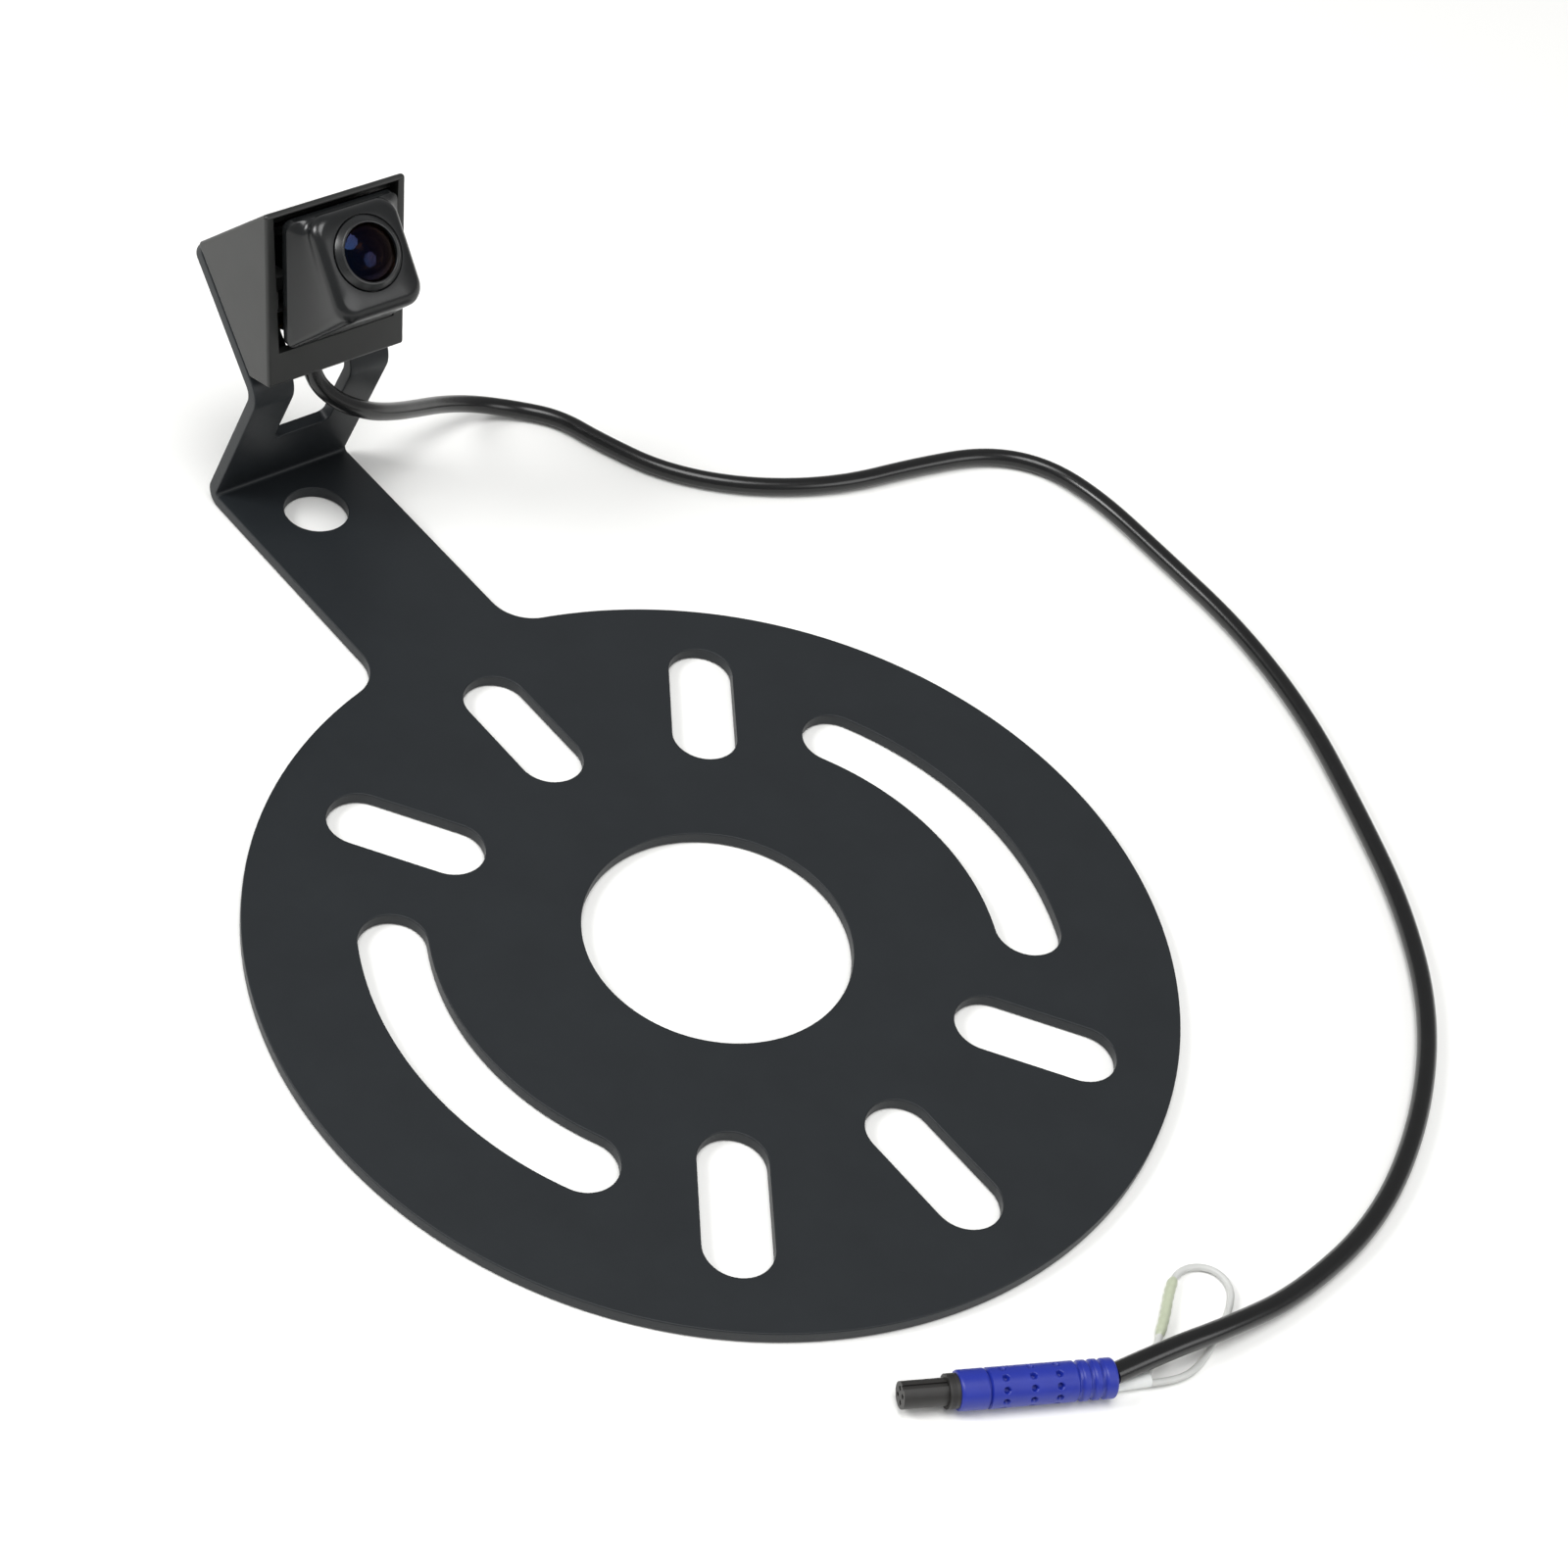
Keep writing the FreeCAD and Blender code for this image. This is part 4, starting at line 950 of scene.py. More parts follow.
# ---- Screws ----
@dataclass
class PanScrew:
    """Pan-head screw with a cross recess; its own Z runs from under the head to its tip."""

    head_radius: float = 2.75
    head_height: float = 2.0
    shank_radius: float = 1.5
    length: float = 7.4
    pitch: float = 0.5
    recess_half: float = 1.6
    recess_depth: float = 1.1
    recess_width: float = 0.42
    thread_depth: float = 0.6
    thread_start: float = 0.4
    end_length: float = 0.5
    tip_share: float = 0.7
    head_curve: tuple[tuple[float, float], ...] = ((0.55, 1.0), (0.85, 0.86), (1.0, 0.45), (1.0, 0.0))

    def body(self) -> bpy.types.Object:
        """Turn the head and the threaded shank.

        Returns:
            The screw without its recess, in millimetres.
        """
        root = self.shank_radius - self.thread_depth * self.pitch
        profile: Profile = [(0, -self.head_height)]
        profile += [(self.head_radius * out, -self.head_height * up) for out, up in self.head_curve]
        profile.append((root, 0))
        turns = int((self.length - 2 * self.end_length) / self.pitch)
        for turn in range(turns):
            low = self.thread_start + turn * self.pitch
            profile += [(root, low), (self.shank_radius, low + self.pitch * 0.5)]
        profile += [(root, self.length - self.end_length), (root * self.tip_share, self.length),
                    (0, self.length)]
        return to_object("screw body", turned(profile, 32), sharp_angle=30)

    def make(self) -> bpy.types.Object:
        """Cut the cross recess in the head.

        Returns:
            The screw at the origin, in metres.
        """
        screw = self.body()
        cross = bmesh.new()
        span = 2 * self.recess_half
        top = Matrix.Translation((0, 0, -self.head_height))
        for width, tall in ((self.recess_width, 1.0), (1.0, self.recess_width)):
            size = Matrix.Diagonal((span * width, span * tall, 2 * self.recess_depth, 1))
            bmesh.ops.create_cube(cross, size=1.0, matrix=top @ size)
        tool = to_object("recess", cross)
        cut = screw.modifiers.new("recess", "BOOLEAN")
        cut.object, cut.operation, cut.solver, cut.use_self = tool, "DIFFERENCE", "EXACT", True
        made = baked(screw)
        bpy.data.objects.remove(tool)
        made.data.transform(Matrix.Scale(MM, 4))
        return made


def fixing_screws(bracket: BentBracket) -> bpy.types.Object:
    """Stand the four screws on the tines' back.

    Args:
        bracket: the bent sheet that they fix.

    Returns:
        One mesh object with all four.
    """
    middle_x = (bracket.arm_half + bracket.window_half) / 2
    places = []
    for side in (-1, 1):
        for row in bracket.screw_rows:
            across, along = side * middle_x, bracket.along_tine(row)
            foot = bracket.folded(Vector((across, along, 0)))
            through = bracket.folded(Vector((across, along, bracket.thickness)))
            places.append((foot * MM, (through - foot).normalized()))
    screws = Scatter("tine_screws").stand(PanScrew().make(), places, BLACK_STEEL)
    return dress(screws, [BLACK_STEEL], Body.MOUNT, ["fixing_screws"])


# ---- Pod ----
@dataclass
class PodFrame:
    """The pod's own axes: x right, y up the lens face and z out of the lens, from the tilt joint."""

    elevation: float = 43.0
    pivot_drop: float = 1.3
    pivot_depth: float = 19.0

    def place(self) -> Matrix:
        """Find the pod from its tilt joint.

        Returns:
            The matrix from the pod's millimetres to the frame.
        """
        turn = Matrix.Rotation(math.radians(90 - self.elevation), 4, "X")
        pivot = Vector(frame["joints"][0]["pos_m"])
        start = pivot - turn @ Vector((0, -self.pivot_drop, -self.pivot_depth)) * MM
        return Matrix.Translation(start) @ turn @ Matrix.Scale(MM, 4)


@dataclass
class FrontCover:
    """Flared front cover: a rounded face, concave flanks and a skirt parallel to the hood's face."""

    face_half: float = 8.7
    face_top: float = 8.1
    face_bottom: float = -9.9
    face_corner: float = 3.2
    shoulder: tuple[float, float, float] = (1.6, 1.7, 2.4)
    shoulder_depth: float = 2.4
    skirt_half: float = 13.3
    skirt_top: tuple[float, float] = (9.915, -4.111)
    skirt_bottom: tuple[float, float] = (-13.6, -19.675)
    skirt_corner: float = 2.0
    skirt_thickness: float = 1.5
    flare_steps: int = 10
    round_steps: int = 7
    seat_radius: float = 7.7
    seat_depth: float = 1.6
    bore_radius: float = 6.3
    cavity: tuple[float, float, float] = (9.0, 7.2, -8.7)
    cavity_front: float = -2.4
    cavity_corner: float = 2.0
    corner_growth: float = 0.8
    flare_power: float = 2.2
    round_turn: float = 70.0
    seat_break: float = 0.12
    per_corner: int = 14
    per_side: int = 10

    def ring(self, top: tuple[float, float], bottom: tuple[float, float], half: float, corner: float) -> Ring:
        """Draw a rounded rectangle across the middle plane.

        Args:
            top: (y, z) of its upper edge.
            bottom: (y, z) of its lower edge.
            half: half its width.
            corner: radius of its corners.

        Returns:
            Its points, anticlockwise from the right.
        """
        high, low = Vector((0, *top)), Vector((0, *bottom))
        up = (high - low).normalized()
        middle = (high + low) / 2
        tall = (high - low).length / 2
        points = []
        for quarter in range(4):
            start = math.radians(90 * quarter)
            sign_x = 1 if quarter in (0, 3) else -1
            sign_y = 1 if quarter in (0, 1) else -1
            for step in range(self.per_corner + 1):
                angle = start + math.pi / 2 * step / self.per_corner
                points.append(Vector((sign_x * (half - corner) + corner * math.cos(angle), 0, 0)) + middle
                              + up * (sign_y * (tall - corner) + corner * math.sin(angle)))
        spaced: Ring = []
        block = self.per_corner + 1
        for quarter in range(4):
            spaced += points[quarter * block:(quarter + 1) * block]
            here, there = spaced[-1], points[(quarter + 1) * block % len(points)]
            spaced += [here.lerp(there, step / self.per_side) for step in range(1, self.per_side)]
        return spaced

    def circle(self, radius: float, height: float) -> Ring:
        """Draw a circle whose points face those of the face's outline.

        Args:
            radius: its radius.
            height: its z.

        Returns:
            As many points as a rounded rectangle has.
        """
        outline = self.ring((self.face_top, 0), (self.face_bottom, 0), self.face_half, self.face_corner)
        up = Vector((0, 0, height))
        return [Vector((point.x, point.y, 0)).normalized() * radius + up for point in outline]

    def behind(self, point: tuple[float, float], depth: float) -> tuple[float, float]:
        """Move a point back from the hood's face.

        Args:
            point: its (y, z).
            depth: millimetres square to that face.

        Returns:
            The new (y, z).
        """
        top, bottom = Vector(self.skirt_top), Vector(self.skirt_bottom)
        along = (top - bottom).normalized()
        return point[0] + along.y * depth, point[1] - along.x * depth

    def outside(self) -> list[Ring]:
        """Lay out the outer wall.

        Returns:
            Rings from the skirt's back to the face's edge.
        """
        side, above, below = self.shoulder
        depth = self.shoulder_depth
        high = (self.face_top + above, -depth)
        low = (self.face_bottom - below, -depth)
        half = self.face_half + side
        corner = self.face_corner + self.corner_growth
        rings = [self.ring(self.behind(self.skirt_top, self.skirt_thickness),
                           self.behind(self.skirt_bottom, self.skirt_thickness), self.skirt_half,
                           self.skirt_corner)]
        for step in range(self.flare_steps, 0, -1):
            share = step / self.flare_steps
            top = tuple(a + (b - a) * share for a, b in zip(high, self.skirt_top))
            bottom = tuple(a + (b - a) * share for a, b in zip(low, self.skirt_bottom))
            wide = half + (self.skirt_half - half) * share ** self.flare_power
            rings.append(self.ring(top, bottom, wide, corner + (self.skirt_corner - corner) * share))
        last = math.radians(90 - self.round_turn)
        least_out, least_back = math.sin(last), 1 - math.cos(last)
        for step in range(self.round_steps + 1):
            turn = math.radians(90 - self.round_turn * step / self.round_steps)
            out = (math.sin(turn) - least_out) / (1 - least_out)
            back = (1 - math.cos(turn) - least_back) / (1 - least_back)
            rings.append(self.ring((self.face_top + above * out, -depth * back),
                                   (self.face_bottom - below * out, -depth * back),
                                   self.face_half + side * out,
                                   self.face_corner + self.corner_growth * out))
        return rings

    def inside(self) -> list[Ring]:
        """Lay out the inner wall.

        Returns:
            Rings from the face's lens seat to the cavity's back.
        """
        half, high, low = self.cavity
        back_top = self.behind(self.skirt_top, self.skirt_thickness)
        slope = (self.skirt_top[1] - self.skirt_bottom[1]) / (self.skirt_top[0] - self.skirt_bottom[0])

        def at_back(y: float) -> tuple[float, float]:
            """Return the (y, z) of the skirt's back at a height."""
            return y, back_top[1] + (y - back_top[0]) * slope

        return [
            self.circle(self.seat_radius + self.seat_break, 0),
            self.circle(self.seat_radius, -self.seat_break),
            self.circle(self.seat_radius, -self.seat_depth),
            self.circle(self.bore_radius, -self.seat_depth),
            self.circle(self.bore_radius, self.cavity_front),
            self.ring((high, self.cavity_front), (low, self.cavity_front), half,
                      self.cavity_corner),
            self.ring(at_back(high), at_back(low), half, self.cavity_corner),
        ]

    def make(self, pod: PodFrame) -> bpy.types.Object:
        """Skin the cover inside and out.

        Args:
            pod: the pod's axes.

        Returns:
            The finished cover.
        """
        mesh = shell_of_rings(self.outside() + self.inside(), joined=True)
        cover = to_object("pod_front_cover", mesh, pod.place(), sharp_angle=28)
        return dress(cover, [POD_ABS], Body.POD, ["pod_front_shell"])


@dataclass
class LensStack:
    """Trim ring, lenses, barrel and retainer, each turned about the lens axis."""

    ring_radius: float = 7.5
    ring_inner: float = 5.9
    ring_proud: float = 1.25
    seat_depth: float = 1.6
    lens_radius: float = 5.85
    dome_radius: float = 11.0
    back_radius: float = 6.6
    lens_wall: float = 1.1
    barrel_radius: float = 6.0
    barrel_length: float = 11.0
    throat: float = 2.85
    mouth: float = 5.25
    baffles: int = 6
    ring_lip: float = 0.15
    ring_cone: float = 0.45
    ring_round: float = 0.14
    lens_below_ring: float = 0.75
    land: float = -3.02
    land_width: float = 0.55
    cone_start: float = 0.5
    mid_bore: tuple[float, float, float] = (0.95, -4.6, -8.0)
    back_step: float = 0.4
    inner_lens: tuple[float, float, float, float] = (2.8, 4.2, -2.4, -4.6)
    rear_lens: tuple[float, float, float, float] = (2.4, 6.0, -8.0, -9.6)
    retainer: tuple[tuple[float, float], ...] = ((2.2, -3.0), (3.35, -3.0), (3.35, -2.5), (2.5, -2.5))
    retainer_round: float = 0.08

    def trim_ring(self) -> Profile:
        """Draw the trim ring, its front coned outwards.

        Returns:
            Its closed profile of (radius, height).
        """
        inner, outer, proud = self.ring_inner, self.ring_radius, self.ring_proud
        return eased([(inner, -self.seat_depth), (outer, -self.seat_depth), (outer, self.ring_lip),
                      (inner + self.ring_cone, proud), (inner, proud)], self.ring_round)

    def front_lens(self) -> Profile:
        """Draw the front lens, a meniscus.

        Returns:
            Its profile of (radius, height), from pole to pole.
        """
        rim = self.ring_proud - self.lens_below_ring
        apex = rim + self.dome_radius - math.sqrt(self.dome_radius ** 2 - self.lens_radius ** 2)
        base = rim - self.lens_wall
        steps = 16
        front = []
        for step in range(steps + 1):
            radius = self.lens_radius * step / steps
            front.append((radius, apex - self.dome_radius + math.sqrt(self.dome_radius ** 2 - radius ** 2)))
        centre = apex - self.lens_wall - self.back_radius
        mouth = math.sqrt(self.back_radius ** 2 - (base - centre) ** 2)
        back = []
        for step in range(steps + 1):
            radius = mouth * (1 - step / steps)
            back.append((radius, centre + math.sqrt(self.back_radius ** 2 - radius ** 2)))
        return front + [(self.lens_radius, base)] + back

    def plano_convex(self, rim: float, sphere: float, apex: float, base: float) -> Profile:
        """Draw a lens with a domed front and a flat back.

        Args:
            rim: its radius.
            sphere: radius of the dome.
            apex: height of the dome's top.
            base: height of the flat back.

        Returns:
            Its profile of (radius, height), from pole to pole.
        """
        steps = 14
        front = [(rim * step / steps, apex - sphere + math.sqrt(sphere ** 2 - (rim * step / steps) ** 2))
                 for step in range(steps + 1)]
        return front + [(rim, base), (0, base)]

    def barrel(self) -> Profile:
        """Draw the barrel, with stepped baffles in its cone.

        Returns:
            Its closed profile of (radius, height).
        """
        front = -self.seat_depth
        end = front - self.barrel_length
        narrow, forward, rearward = self.mid_bore
        shelf = self.throat + self.land_width
        profile: Profile = [(self.throat, forward), (self.throat, self.land), (shelf, self.land)]
        low, high = (shelf, self.land + self.cone_start), (self.mouth, front)
        for step in range(self.baffles):
            share, following = step / self.baffles, (step + 1) / self.baffles
            radius = low[0] + (high[0] - low[0]) * share
            wider = low[0] + (high[0] - low[0]) * following
            height = low[1] + (high[1] - low[1]) * following
            if step == 0:
                profile.append((radius, low[1]))
            profile += [(radius, height), (wider, height)]
        profile += [(self.barrel_radius, front), (self.barrel_radius, end)]
        back_bore = self.throat - self.back_step
        profile += [(back_bore, end), (back_bore, rearward), (self.throat - narrow, rearward),
                    (self.throat - narrow, forward)]
        return profile

    def make(self, pod: PodFrame) -> list[bpy.types.Object]:
        """Turn every piece and put it in the pod.

        Args:
            pod: the pod's axes.

        Returns:
            The finished pieces.
        """
        inner, rear = self.plano_convex(*self.inner_lens), self.plano_convex(*self.rear_lens)
        retainer = eased(list(self.retainer), self.retainer_round)
        pieces = (
            ("lens_ring", self.trim_ring(), RING_ABS, "abs_satin", "lens_trim_ring"),
            ("front_lens_glass", self.front_lens(), FRONT_GLASS, "coated_glass", "front_lens"),
            # Inner and rear lenses carry a painted reflection and painted shade in their colour.
            ("inner_lens_glass", inner, INNER_LENS_PAINTED_REFLECTION, "clear_glass", "inner_lens"),
            ("rear_lens_glass", rear, INNER_LENS_PAINTED_REFLECTION, "clear_glass", "rear_lens"),
            ("barrel", self.barrel(), ANODISED, "black_anodised", "lens_barrel"),
            ("retaining_ring", retainer, ANODISED_RING, "black_anodised", "lens_retainer"),
        )
        return [dress(to_object(name, turned(profile), pod.place(), sharp_angle=25), [finish], Body.POD,
                      [node]) for name, profile, finish, slot, node in pieces]


# ---- Gland ----
@dataclass
class Gland:
    """Rubber gland whose boot tapers down to the cable, with two flex grooves."""

    bore_radius: float = 2.9
    collar_radius: float = 3.4
    collar_height: float = 1.2
    flange: float = 1.9
    foot_radius: float = 2.3
    grooves: int = 2
    groove_lead: float = 0.6
    groove: tuple[tuple[float, float], ...] = ((0.05, 0.5), (-0.25, 0.3), (-0.25, -0.3), (-0.02, -0.5))
    collar_start: float = -0.6
    rounding: float = 0.2

    def make(self) -> bpy.types.Object:
        """Turn the gland in its CAD node's place.

        Returns:
            The finished gland.
        """
        low, high = (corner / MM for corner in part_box("cable_gland"))
        middle = (low + high) / 2
        seat = high.z - self.flange
        foot = low.z - seat
        near, far = self.collar_start, self.collar_start - self.collar_height
        profile: Profile = [(0, self.flange), (self.bore_radius, self.flange), (self.bore_radius, near),
                            (self.collar_radius, near), (self.collar_radius, far), (self.bore_radius, far)]
        for groove in range(self.grooves):
            share = (groove + self.groove_lead) / (self.grooves + self.groove_lead)
            height = far + (foot - far) * share
            radius = self.bore_radius + (self.foot_radius - self.bore_radius) * share
            profile += [(radius + out, height + up) for out, up in self.groove]
        profile += [(self.foot_radius, foot), (0, foot)]
        place = Matrix.Scale(MM, 4) @ Matrix.Translation((middle.x, middle.y, seat))
        gland = to_object("gland", turned(eased(profile, self.rounding), 64), place, sharp_angle=35)
        return dress(gland, [RUBBER], Body.POD, ["cable_gland"])


# ---- Cords ----
@dataclass
class Cord:
    """A free cord: a smooth mesh tube that follows the route's own spline."""

    name: str
    route: tuple[tuple[float, float, float], ...]
    diameter: float
    around: int = 24
    steps_per_span: int = 14

    def points(self) -> list[Vector]:
        """Follow the route's own smooth line.

        Returns:
            Its points, in metres.
        """
        data = bpy.data.curves.new(self.name, "CURVE")
        data.dimensions = "3D"
        data.resolution_u = self.steps_per_span
        spline = data.splines.new("NURBS")
        spline.points.add(len(self.route) - 1)
        for point, place in zip(spline.points, self.route):
            point.co = (*(number * MM for number in place), 1)
        spline.order_u = 3
        spline.use_endpoint_u = True
        line = bpy.data.objects.new(self.name, data)
        bpy.context.scene.collection.objects.link(line)
        followed = baked(line)
        points = [vert.co.copy() for vert in followed.data.vertices]
        bpy.data.objects.remove(followed)
        return points

    def tube(self, points: Sequence[Vector], radii: Sequence[float]) -> bpy.types.Object:
        """Skin the line.

        Args:
            points: centre line, in metres.
            radii: radius at each point, in metres.

        Returns:
            The cord as a mesh object.
        """
        return to_object(self.name, tube_along(points, radii, self.around), sharp_angle=60)

    @staticmethod
    def length(points: Sequence[Vector]) -> float:
        """Measure a line.

        Args:
            points: its points, in metres.

        Returns:
            Its length in metres.
        """
        return sum((after - before).length for before, after in zip(points, points[1:]))


CAMERA_CABLE = Cord("camera_cable_jacket", (
    (-2.6, 145, 50.4), (-2.6, 145, 43.6), (-2, 142.8, 36.6), (2.4, 140.2, 31.3), (9.8, 139, 26.6),
    (19, 141.6, 21), (29.3, 145.8, 15), (39.5, 149.8, 9.4), (50, 151.2, 4.6), (59.6, 147.8, 1.95),
    (66.9, 140.5, 1.95), (70.3, 129.6, 1.95), (77, 114.5, 1.95), (91, 101.5, 1.95), (110, 92.5, 1.95),
    (131, 89.2, 1.95), (149, 84.8, 1.95), (159.5, 75, 1.95), (163, 60, 1.95), (162.2, 38, 1.95),
    (161, 12, 1.95), (154.5, -15, 1.95), (143, -41, 1.95), (131, -65.5, 1.95), (114.5, -88, 1.95),
    (92, -106, 1.95), (66, -118.5, 1.95), (40, -122, 1.95), (21.5, -120.6, 3.9), (8.5, -118.4, 4.7),
    (-4.4, -116.8, 4.8)), 3.9)
SETTING_WIRE = Cord("setting_wire_loop", (
    (3, -119.2, 1.35), (6.2, -117.4, 1.1), (10.4, -114.7, 1.05), (15.2, -111.6, 1.1), (19.6, -108.2, 1.05),
    (23.8, -105.8, 0.8), (28, -106.3, 0.65), (31, -109.2, 0.65), (31, -113.3, 0.65), (27.8, -116.4, 0.65),
    (22.6, -119, 0.65), (17, -121.4, 0.65), (11.6, -122.9, 0.65), (6.6, -122.3, 0.9),
    (2.5, -120.55, 1.35)), 1.3, around=14)


@dataclass
class Leads:
    """The camera's cable, its setting wire and the joint sleeve on that wire."""

    bend_start_m: tuple[float, float, float] = (-0.0026, 0.145, 0.050)
    bend_end_m: tuple[float, float, float] = (-0.001, 0.141, 0.033)
    splice_radius: float = 1.0
    splice_shares: tuple[float, float] = (0.13, 0.33)
    splice_slack: float = 1.02
    splice_ease: int = 3
    wrinkle: float = 0.14
    wrinkle_turn: float = 1.3

    def cable(self, plug: Sequence[bpy.types.Object]) -> bpy.types.Object:
        """Lay the cable from the gland to the plug.

        Args:
            plug: the pieces that hang on its far end; not used.

        Returns:
            The finished cable.
        """
        points = CAMERA_CABLE.points()
        radius = CAMERA_CABLE.diameter / 2 * MM
        cable = CAMERA_CABLE.tube(points, [radius] * len(points))
        dress(cable, [PVC_JACKET], None, ["camera_cable"])
        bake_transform(cable)
        Cord.length(points)
        return cable

    def wire(self) -> bpy.types.Object:
        """Lay the thin loop and its shrunk joint sleeve.

        Returns:
            The finished wire.
        """
        points = SETTING_WIRE.points()
        radius = SETTING_WIRE.diameter / 2 * MM
        wire = SETTING_WIRE.tube(points, [radius] * len(points))
        dress(wire, [WIRE_PVC], Body.MOUNT, ["setting_wire"])
        first, last = (int(share * len(points)) for share in self.splice_shares)
        stretch = points[first:last]
        inner = radius * self.splice_slack
        radii = [inner + (self.splice_radius * MM - inner) * self.swell(index, len(stretch))
                 for index in range(len(stretch))]
        sleeve = to_object("wire_joint_sleeve", tube_along(stretch, radii, 20), sharp_angle=60)
        dress(sleeve, [SHRINK_TUBE], Body.MOUNT, ["wire_splice"])
        Cord.length(points)
        return wire

    def swell(self, index: int, count: int) -> float:
        """Say how far the sleeve stands off the wire at one of its points.

        Args:
            index: number of the point.
            count: number of points under the sleeve.

        Returns:
            A share from 0, on the wire, to 1, at the sleeve's own radius.
        """
        from_end = min(index, count - 1 - index)
        ease = min(from_end / self.splice_ease, 1.0)
        ripple = 1 - self.wrinkle + self.wrinkle * math.cos(index * self.wrinkle_turn)
        return ease * (2 - ease) * ripple


# ---- Plug ----
@dataclass
class Plug:
    """Moulded blue grip with finger dimples; its Z runs from the cable to the contacts."""

    rear: tuple[float, float, float] = (-4.4, -116.8, 3.6)
    heading: float = 153.3
    radius: float = 3.6
    length: float = 29.0
    grooves: tuple[tuple[float, float], ...] = ((2.2, 0.8), (4.3, 0.8), (6.5, 0.8), (23.4, 0.4))
    groove_depth: float = 0.5
    groove_floor: float = 0.6
    groove_reach: float = 1.4
    dimple_columns: tuple[float, ...] = (10.9, 15.7, 20.8)
    dimple_rows: int = 10
    dimple_roll: float = 46.9
    dimple_radius: float = 0.66
    dimple_depth: float = 0.9
    dimple_slope: float = 0.35
    edge: float = 0.45
    end_rows: tuple[float, float] = (0.05, 0.12)
    step: float = 0.15
    around: int = 200

    def place(self) -> Matrix:
        """Return the matrix from the plug's millimetres to the frame."""
        turn = Matrix.Rotation(math.radians(self.heading), 4, "Z") @ Matrix.Rotation(math.radians(90), 4, "Y")
        return Matrix.Scale(MM, 4) @ Matrix.Translation(self.rear) @ turn

    def girth(self, height: float) -> float:
        """Work out the grip's radius, with its grooves and rounded ends.

        Args:
            height: millimetres from its rear.

        Returns:
            The radius there.
        """
        radius = self.radius
        from_end = min(height, self.length - height)
        if from_end < self.edge:
            radius -= self.edge - math.sqrt(self.edge ** 2 - (self.edge - from_end) ** 2)
        for low, wide in self.grooves:
            away = abs(height - low - wide / 2) / (wide / 2)
            rise = (away - self.groove_floor) / (self.groove_reach - self.groove_floor)
            radius -= self.groove_depth * (1 - min(max(rise, 0.0), 1.0))
        return radius

    def dimple(self, height: float, angle: float) -> float:
        """Work out how deep the grip is dimpled.

        Args:
            height: millimetres from its rear.
            angle: radians round its axis.

        Returns:
            The depth there, 0 between dimples.
        """
        pitch = 360 / self.dimple_rows
        off = (math.degrees(angle) - self.dimple_roll + pitch / 2) % pitch - pitch / 2
        across = math.radians(off) * self.radius
        along = min(abs(height - column) for column in self.dimple_columns)
        away = math.hypot(across, along) / self.dimple_radius
        ease = min(max((1 - away) / self.dimple_slope, 0.0), 1.0)
        return self.dimple_depth * ease * ease * (3 - 2 * ease)

    def grip(self) -> bpy.types.Object:
        """Skin the grip ring by ring.

        Returns:
            The finished grip.
        """
        rows = {round(self.step * row, 3) for row in range(int(self.length / self.step) + 1)}
        rows |= {*self.end_rows, *(self.length - row for row in self.end_rows), self.length}
        heights = sorted(rows)
        rings = []
        for height in heights:
            ring = []
            for step in range(self.around):
                angle = 2 * math.pi * step / self.around
                radius = self.girth(height) - self.dimple(height, angle)
                ring.append(Vector((-math.sin(angle) * radius, math.cos(angle) * radius, height)))
            rings.append(ring)
        grip = to_object("plug_grip", shell_of_rings(rings, joined=False), self.place(), sharp_angle=50)
        return dress(grip, [PLUG_PVC], Body.MOUNT, ["plug_sleeve"])


# ---- Pieces kept from the frame ----
KEPT_FINISHES: dict[str, Finish] = {
    "pod_rear_shell": POD_ABS, "lens_holder": HOOD_ABS, "threaded_inserts": BRASS, "board_pins": BRASS,
    "plug_contacts": BRASS, "pod_screws": BLACK_STEEL, "pod_gasket": RUBBER, "lens_seal": RUBBER,
    "friction_washers": RUBBER, "plug_ring": RUBBER, "sensor_board": SOLDER_MASK, "power_board": SOLDER_MASK,
    "image_sensor": SENSOR_DIE, "board_capacitors": DRAWN_CAN, "cable_socket": WHITE_NYLON,
    "plug_insert": NYLON, "wire_stub": WHITE_TUBE,
}


def finish_kept_pieces() -> None:
    """Give the frame's own pieces their finishes."""
    for node, finish in KEPT_FINISHES.items():
        data = frame["nodes"][node].data
        data.materials.clear()
        data.materials.append(finish.build())
        log.info("%s is %s", node, finish.name)


# ---- Studio ----
@dataclass
class Softbox:
    """One soft area light that points at a target, sizes in metres."""

    name: str
    place: tuple[float, float, float]
    watts: float
    size: float
    target: tuple[float, float, float] = (0.03, 0.02, 0.02)

    def hang(self) -> None:
        """Hang the light."""
        lamp = bpy.data.lights.new(self.name, "AREA")
        lamp.shape = "DISK"
        lamp.energy = self.watts
        lamp.size = self.size
        holder = bpy.data.objects.new(self.name, lamp)
        holder.location = self.place
        holder.rotation_euler = (Vector(self.target) - Vector(self.place)).to_track_quat("-Z", "Y").to_euler()
        bpy.context.scene.collection.objects.link(holder)


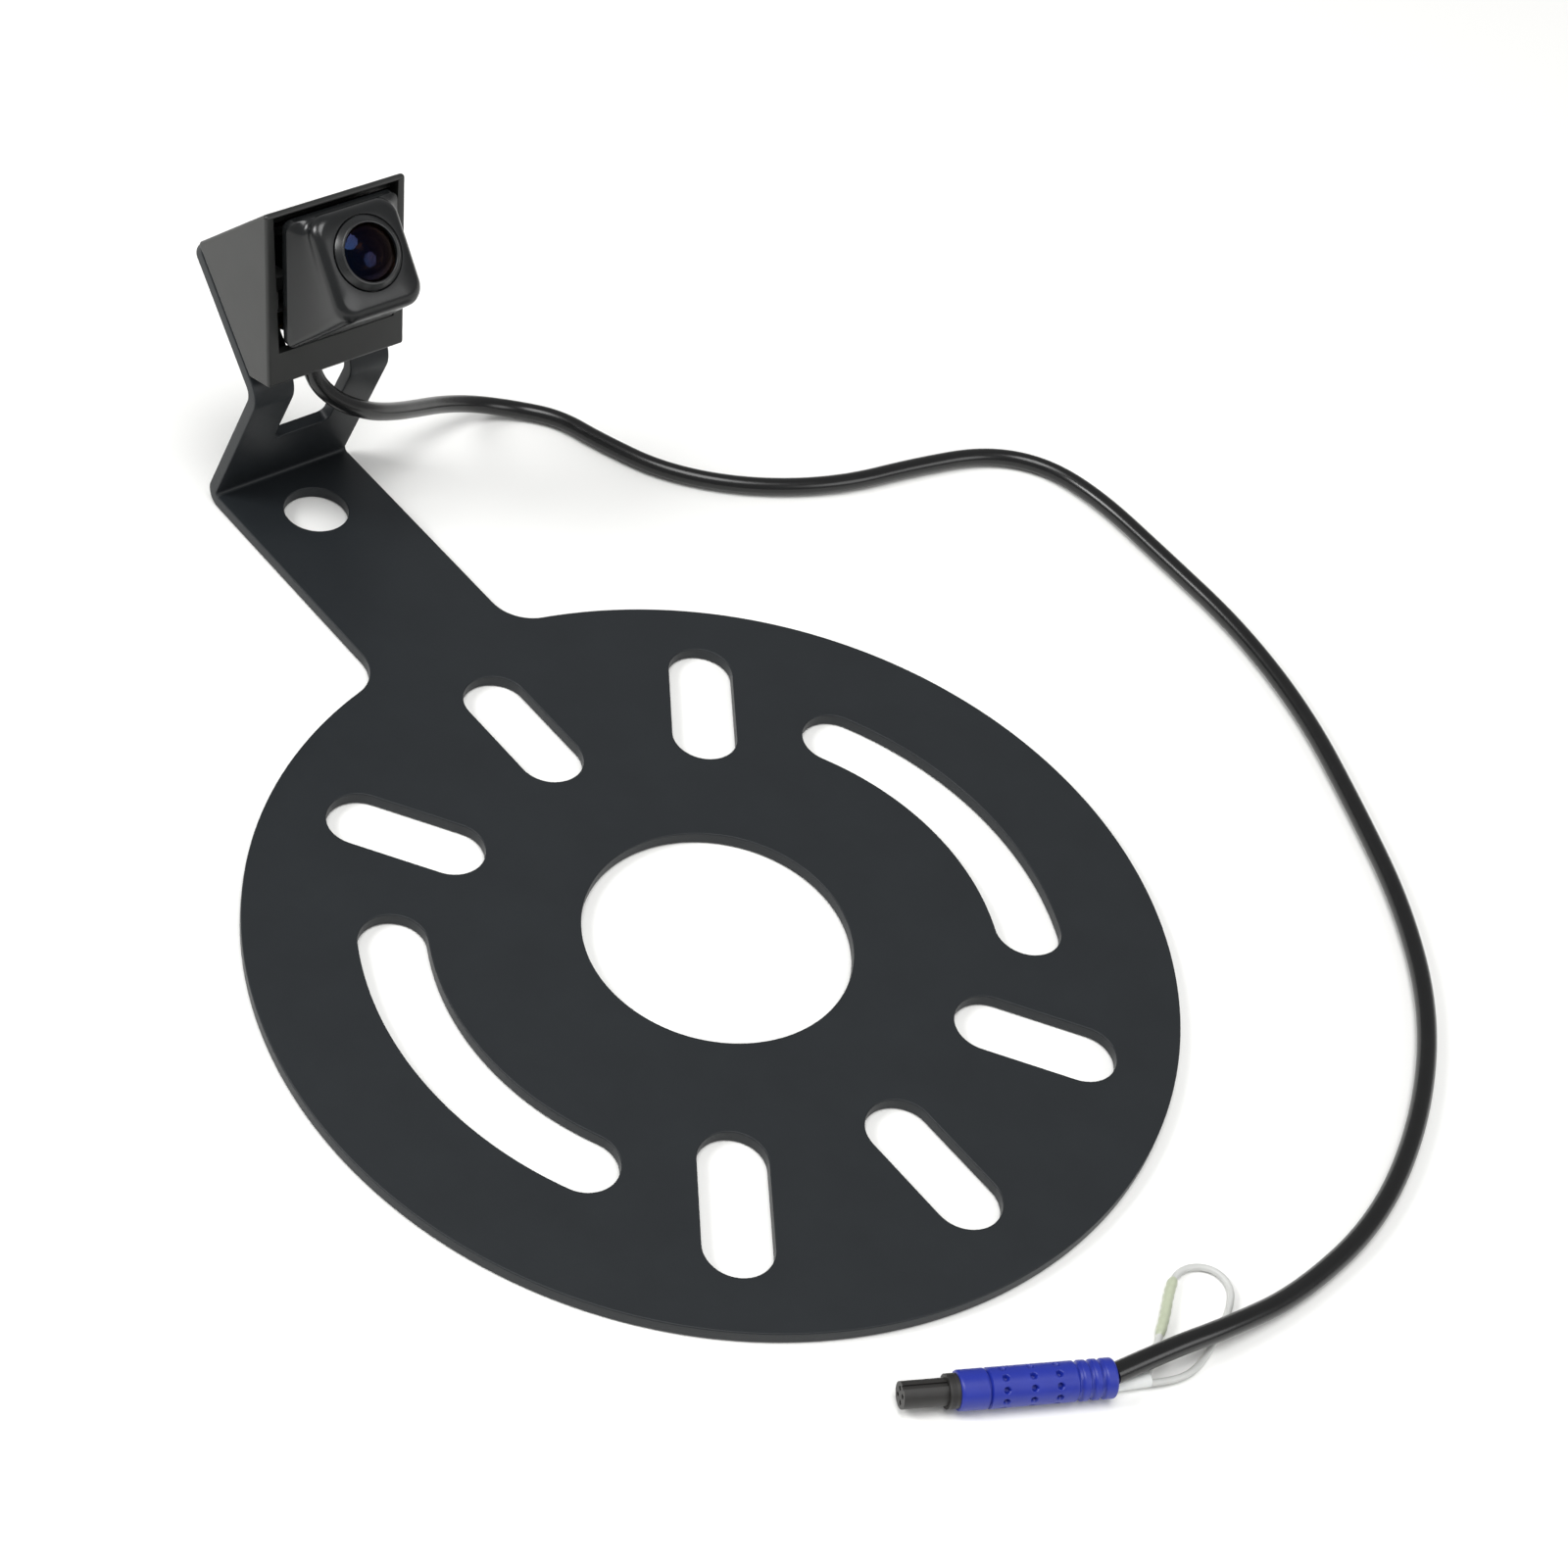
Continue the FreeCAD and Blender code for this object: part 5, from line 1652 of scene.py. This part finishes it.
@dataclass
class Studio:
    """Pale floor, soft lights and the camera."""

    floor_half: float = 4.0
    floor_drop: float = 0.0002
    floor_tone: str = "#f4f4f2"
    world_tone: str = "#ffffff"
    world_strength: float = 0.40
    camera_place: tuple[float, float, float] = (-0.3225, -0.2697, 0.4568)
    camera_right: tuple[float, float, float] = (0.7759, -0.6093, 0.1634)
    camera_way: tuple[float, float, float] = (0.5238, 0.4779, -0.7052)
    lens: float = 73.25
    shift: float = 0.0804
    lights: tuple[Softbox, ...] = (
        Softbox("key", (-0.95, 0.55, 0.95), 11.0, 0.55),
        Softbox("top", (-0.25, -0.2, 1.5), 14.0, 0.9),
        Softbox("fill", (0.5, -1.2, 0.8), 5.0, 0.8),
    )

    def floor(self) -> None:
        """Lay the plain floor."""
        mesh = bmesh.new()
        half = self.floor_half
        mesh.faces.new([mesh.verts.new((x, y, 0)) for x, y in ((-half, -half), (half, -half), (half, half),
                                                               (-half, half))])
        floor = to_object("floor", mesh)
        floor.location.z = -self.floor_drop
        material = bpy.data.materials.new("matt white paper")
        material.use_nodes = True
        shader = material.node_tree.nodes["Principled BSDF"]
        shader.inputs["Base Color"].default_value = linear(self.floor_tone)
        shader.inputs["Roughness"].default_value = 0.9
        floor.data.materials.append(material)

    def world(self) -> None:
        """Light the scene evenly from all round."""
        world = bpy.data.worlds.new("studio air")
        world.use_nodes = True
        air = world.node_tree.nodes["Background"]
        air.inputs["Color"].default_value = linear(self.world_tone)
        air.inputs["Strength"].default_value = self.world_strength
        bpy.context.scene.world = world

    def camera(self) -> None:
        """Stand the camera."""
        data = bpy.data.cameras.new("camera")
        data.lens = self.lens
        data.sensor_width = 36.0
        data.shift_x = self.shift
        data.clip_start = 0.02
        camera = bpy.data.objects.new("camera", data)
        way = Vector(self.camera_way).normalized()
        right = Vector(self.camera_right)
        right = (right - way * right.dot(way)).normalized()
        up = right.cross(way)
        turn = Matrix((right, up, -way)).transposed().to_4x4()
        camera.matrix_world = Matrix.Translation(self.camera_place) @ turn
        bpy.context.scene.collection.objects.link(camera)
        bpy.context.scene.camera = camera

    def set_up(self) -> None:
        """Set the whole studio up."""
        self.floor()
        self.world()
        self.camera()
        for light in self.lights:
            light.hang()
        bpy.context.scene.view_settings.view_transform = "Standard"


def main() -> None:
    """Build every piece in order, then the studio."""
    logging.basicConfig(level=logging.INFO)
    Studio().set_up()
    plug = Plug().grip()
    kept = [frame["nodes"][name] for name in ("plug_insert", "plug_contacts", "plug_ring", "wire_stub")]
    leads = Leads()
    leads.cable([plug, *kept])
    leads.wire()
    bracket = BentBracket()
    bracket.make()
    fixing_screws(bracket)
    Hood().make()
    pod = PodFrame()
    FrontCover().make(pod)
    LensStack().make(pod)
    Gland().make()
    finish_kept_pieces()


if __name__ == "__main__":
    main()
